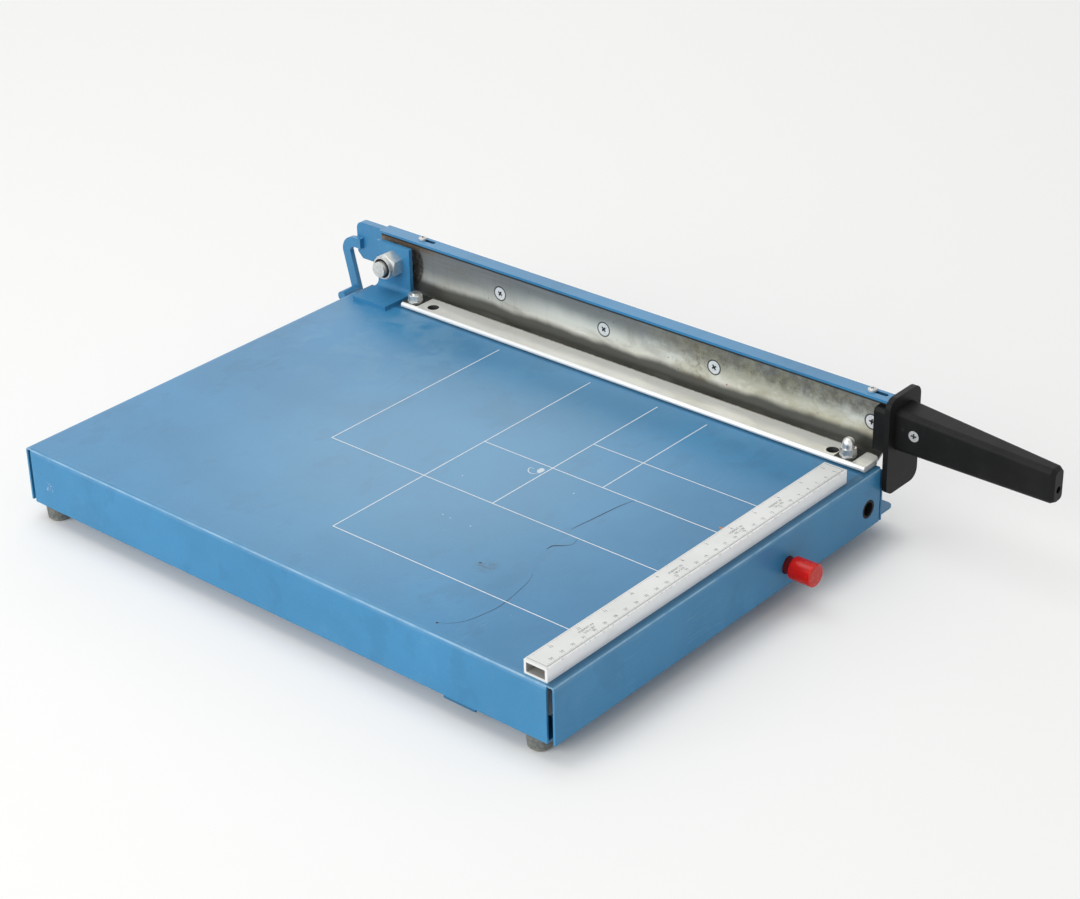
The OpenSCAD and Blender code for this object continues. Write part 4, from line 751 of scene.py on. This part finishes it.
# Border, millimetre and inch scales, numbers and format notes on the ruler
SCALE_Z = RULER_TOP + 0.05
CM = 10
INCH = 25.4
INCH_PARTS = 16
THIN = 0.16
FRAME_W = THIN * 1.6
FRONT_LINE = -RULER_W + 1.3
BACK_LINE = -0.5
FRAME_X = (RULER_X[0] + 2.0, RULER_X[1] - 1.5)
MM_LINES, MM_LENGTHS = range(46, 348), (2.6, 2.0, 1.3)
INCH_LINES, INCH_LENGTHS = range(30, 219), (2.4, 1.7, 1.0)
CM_FIGURES, CM_ROW = range(5, 35), -RULER_W + 5.4
INCH_FIGURES, INCH_ROW = range(2, 14), -4.4
FIGURE = 2.9
NOTE = 2.5
NOTE_ROWS = (-7.4, -10.2)
NOTES = ((-301.5, "FORMAT A4", "210 x 297"), (-214.5, "FORMAT A5", "148 x 210"),
         (-152.0, "FORMAT A6", "105 x 148"), (-109.0, "FORMAT A7", "74 x 105"))


def line_length(n, whole, lengths):
    """Length of a scale's line: longest at whole steps, shorter at half ones and shortest between."""
    if n % whole == 0:
        return lengths[0]
    return lengths[1] if n % (whole // 2) == 0 else lengths[2]


bm = bmesh.new()
add_rect(bm, FRAME_X[0], FRONT_LINE, FRAME_X[1], FRONT_LINE + FRAME_W, SCALE_Z)
add_rect(bm, FRAME_X[0], FRONT_LINE, FRAME_X[0] + FRAME_W, BACK_LINE, SCALE_Z)
add_rect(bm, FRAME_X[1] - FRAME_W, FRONT_LINE, FRAME_X[1], BACK_LINE, SCALE_Z)
for n in MM_LINES:
    length = line_length(n, CM, MM_LENGTHS)
    add_rect(bm, -n - THIN / 2, FRONT_LINE, -n + THIN / 2, FRONT_LINE + length, SCALE_Z)
for n in INCH_LINES:
    x = -INCH / INCH_PARTS * n
    if FRAME_X[0] < x < FRAME_X[1]:
        length = line_length(n, INCH_PARTS, INCH_LENGTHS)
        add_rect(bm, x - THIN / 2, BACK_LINE - length, x + THIN / 2, BACK_LINE, SCALE_Z)
for n in CM_FIGURES:
    add_text(bm, str(n), -CM * n, CM_ROW, SCALE_Z, FIGURE)
for n in INCH_FIGURES:
    add_text(bm, str(n), -INCH * n, INCH_ROW, SCALE_Z, FIGURE)
for x, *words in NOTES:
    for word, row in zip(words, NOTE_ROWS):
        add_text(bm, word, x, row, SCALE_Z, NOTE)
ruler_ink = printed("ruler_ink", (0.10, 0.104, 0.108), (0.30, 0.31, 0.31))
piece("ruler_print", bm, ruler_ink, "base")

# Pen strokes on the table, by width and course, and two ink spots, by centre and radii
PEN_STROKES = (
    (0.8, ((-203.3, 86.1), (-189.9, 84.3), (-175.5, 82.5), (-160.9, 80.6), (-149.2, 77.7))),
    (1.1, ((-233.3, 81.9), (-229.4, 82.2), (-226.4, 81.0), (-223.5, 77.3), (-220.0, 73.9))),
    (0.35, ((-220.2, 74.1), (-216.4, 73.1), (-210.1, 75.0))),
    (0.42, ((-341.3, 77.6), (-337.1, 71.1), (-329.9, 65.6), (-320.0, 62.5), (-306.3, 60.2), (-294.7, 60.8),
            (-281.1, 63.0), (-269.7, 65.5), (-261.0, 69.3))),
)
INK_SPOTS = ((-341.3, 77.4, 1.1, 0.9), (-271.8, 104.0, 1.0, 0.9))
bm = bmesh.new()
for width, points in PEN_STROKES:
    add_stroke(bm, width, points)
for spot in INK_SPOTS:
    add_blob(bm, *spot)
pen_ink = printed("pen_ink", (0.018, 0.035, 0.06), (0.05, 0.14, 0.25))
piece("pen_marks", bm, pen_ink, "base")

# A white scuff with a curl beside it, and specks of dust
SCUFF = (-156.3, 152.6, 4.0, 2.3)
SCUFF_TURN = math.radians(8)
CURL_W = 0.8
CURL = ((-156.9, 157.8), (-157.3, 160.9), (-161.0, 159.6), (-163.1, 156.4), (-162.2, 153.3), (-160.0, 152.0))
DUST_R = (0.55, 0.45)
DUST_SIDES = 7
DUST = ((-241.2, 164.3), (-241.7, 157.3), (-241.2, 139.8), (-166.3, 115.0), (-194.0, 189.4))
bm = bmesh.new()
add_stroke(bm, CURL_W, CURL)
add_blob(bm, *SCUFF, turn=SCUFF_TURN)
for x, y in DUST:
    add_blob(bm, x, y, *DUST_R, rough=0.3, count=DUST_SIDES)
scuff_white = printed("scuff_white", (0.62, 0.70, 0.76), (0.38, 0.54, 0.66))
piece("scuff_mark", bm, scuff_white, "base")

# A speck of rust
SPECK_X, SPECK_Y = -142.3, 11.4
SPECK_RX, SPECK_RY = 1.1, 1.6
SPECK_SIDES = 9
bm = bmesh.new()
bm.faces.new([bm.verts.new(at(SPECK_X + SPECK_RX * math.cos(a), SPECK_Y + SPECK_RY * math.sin(a), PRINT_Z))
              for a in (2 * math.pi * k / SPECK_SIDES for k in range(SPECK_SIDES))])
speck_orange = printed("speck_orange", (0.55, 0.22, 0.05), (0.30, 0.20, 0.12))
piece("rust_speck", bm, speck_orange, "base")

# Weld beads along the upper and lower edge of the hook's root
WELD_X, WELD_Y = 2.6, 471.0
WELD_Z = (22.5, 30.5)
BEADS = 9
BEAD_STEP = 0.65
BEAD_R = 0.95
BEAD_STRAY = 0.15
BEAD_FORM = Matrix.Diagonal((0.85, 1.0, 0.75, 1.0))
bm = bmesh.new()
for k in range(BEADS):
    for z in WELD_Z:
        bead = bmesh.ops.create_icosphere(bm, subdivisions=2, radius=BEAD_R * MM)
        stray = rng.uniform(-BEAD_STRAY, BEAD_STRAY)
        place = Matrix.Translation(at(WELD_X, WELD_Y + BEAD_STEP * k, z + stray))
        bmesh.ops.transform(bm, matrix=place @ BEAD_FORM, verts=bead["verts"])
for f in bm.faces:
    f.smooth = True
piece("hook_weld", bm, arm_blue, "arm")

# Pale floor, and a backdrop that shows the same tone as the floor's far part. The shadow is full at the
# object and is lifted by SHADOW_LIFT from CONTACT on, and the even tone comes in over FAR_R.
PAPER = (0.95, 0.952, 0.946)
PALE = (0.93, 0.932, 0.925)
FLOOR_HALF = 6000.0 * MM
SHADOW_LIFT = 0.4
CONTACT = 28.0
FAR_R = (1050.0, 1900.0)
SKY = (1.0, 1.0, 0.99, 1.0)
SKY_LIGHT = 0.53


def seen_rays(tree):
    """1 for the rays that show the background: camera, glossy and transmission rays."""
    path = tree.nodes.new("ShaderNodeLightPath")
    total = path.outputs["Is Camera Ray"]
    for kind in ("Is Glossy Ray", "Is Transmission Ray"):
        n = tree.nodes.new("ShaderNodeMath")
        n.operation = "MAXIMUM"
        tree.links.new(total, n.inputs[0])
        tree.links.new(path.outputs[kind], n.inputs[1])
        total = n.outputs[0]
    return total


def pale_floor():
    """Matt pale paper, with a full shadow at the object, a softer one round it and an even tone far off."""
    m = Mat("floor_pale", specular=0.2)
    m.done(PAPER, 0.75, m.noise(0.02, 3.0), 0.02, 0.05)
    beside = m.far((m.outside(m.x, LEFT_X, RIGHT_X), 0.0), (m.outside(m.y, FRONT_Y, REAR_Y), 0.0))
    near = m.rise(beside, 0.0, CONTACT, 0.0, SHADOW_LIFT)
    away = m.rise(m.far((m.x, -OFFSET.x), (m.y, -OFFSET.y)), *FAR_R)
    tone = m.node("ShaderNodeEmission")
    m.put(tone.inputs["Color"], PALE)
    mixed = m.node("ShaderNodeMixShader")
    m.put(mixed.inputs[0], m.mul(m.most(near, away), seen_rays(m.tree)))
    m.put(mixed.inputs[1], m.shader.outputs[0])
    m.put(mixed.inputs[2], tone.outputs[0])
    m.put(m.tree.nodes["Material Output"].inputs["Surface"], mixed.outputs[0])
    return m.mat


bm = bmesh.new()
bm.faces.new([bm.verts.new((x * FLOOR_HALF, y * FLOOR_HALF, 0.0))
              for x, y in ((-1, -1), (1, -1), (1, 1), (-1, 1))])
mesh = bpy.data.meshes.new("floor")
bm.to_mesh(mesh)
bm.free()
mesh.materials.append(pale_floor())
floor = bpy.data.objects.new("floor", mesh)
bpy.context.scene.collection.objects.link(floor)

world = bpy.data.worlds.new("studio")
bpy.context.scene.world = world
world.use_nodes = True
tree = world.node_tree
sky = tree.nodes["Background"]
sky.inputs["Color"].default_value = SKY
sky.inputs["Strength"].default_value = SKY_LIGHT
backdrop = tree.nodes.new("ShaderNodeBackground")
backdrop.inputs["Color"].default_value = (*PALE, 1.0)
both = tree.nodes.new("ShaderNodeMixShader")
for socket, source in zip(both.inputs, (seen_rays(tree), sky.outputs[0], backdrop.outputs[0])):
    tree.links.new(source, socket)
tree.links.new(both.outputs[0], tree.nodes["World Output"].inputs["Surface"])


# Soft studio lamps, in metres and watts
def area(name, place, aim, size, energy, colour=(1.0, 1.0, 1.0)):
    """A large soft lamp that the camera doesn't see."""
    light = bpy.data.lights.new(name, "AREA")
    light.shape = "RECTANGLE"
    light.size, light.size_y = size
    light.energy = energy
    light.color = colour
    obj = bpy.data.objects.new(name, light)
    obj.location = place
    obj.rotation_euler = (Vector(aim) - Vector(place)).to_track_quat("-Z", "Y").to_euler()
    obj.visible_camera = False
    bpy.context.scene.collection.objects.link(obj)


area("key_left", place=(-2.1, 0.4, 1.0), aim=(0.0, 0.0, 0.0), size=(2.2, 1.6), energy=31.5,
     colour=(1.0, 0.995, 0.98))
area("back_sheet", place=(-0.2, 0.55, 2.2), aim=(0.0, 0.0, 0.0), size=(1.6, 1.3), energy=14.0)
area("horizon", place=(1.75, 1.7, 1.0), aim=(0.0, 0.1, 0.05), size=(2.4, 1.1), energy=7.0)
area("front_fill", place=(0.6, -1.8, 1.0), aim=(0.0, 0.0, 0.05), size=(1.4, 1.0), energy=1.0)

# The photograph's camera: angles in degrees, place in the datum, lens in millimetres
AZIMUTH, ELEVATION, ROLL = (math.radians(v) for v in (-48.861, 28.318, -1.323))
CAMERA_AT = at(-1277.9, -827.1, 818.7)
LENS = 84.05
SENSOR = 36.0
level = Vector((math.sin(AZIMUTH), -math.cos(AZIMUTH), 0.0))
back = level * math.cos(ELEVATION) + Vector((0.0, 0.0, math.sin(ELEVATION)))
right = Vector((0.0, 0.0, 1.0)).cross(back).normalized()
up = back.cross(right)
rolled_right = right * math.cos(ROLL) + up * math.sin(ROLL)
rolled_up = up * math.cos(ROLL) - right * math.sin(ROLL)
cam = bpy.data.cameras.new("camera")
cam.sensor_width = SENSOR
cam.lens = LENS
eye = bpy.data.objects.new("camera", cam)
turn = Matrix((rolled_right, rolled_up, back)).transposed().to_4x4()
eye.matrix_world = Matrix.Translation(CAMERA_AT) @ turn
bpy.context.scene.collection.objects.link(eye)
bpy.context.scene.camera = eye
bpy.context.scene.view_settings.view_transform = "Standard"
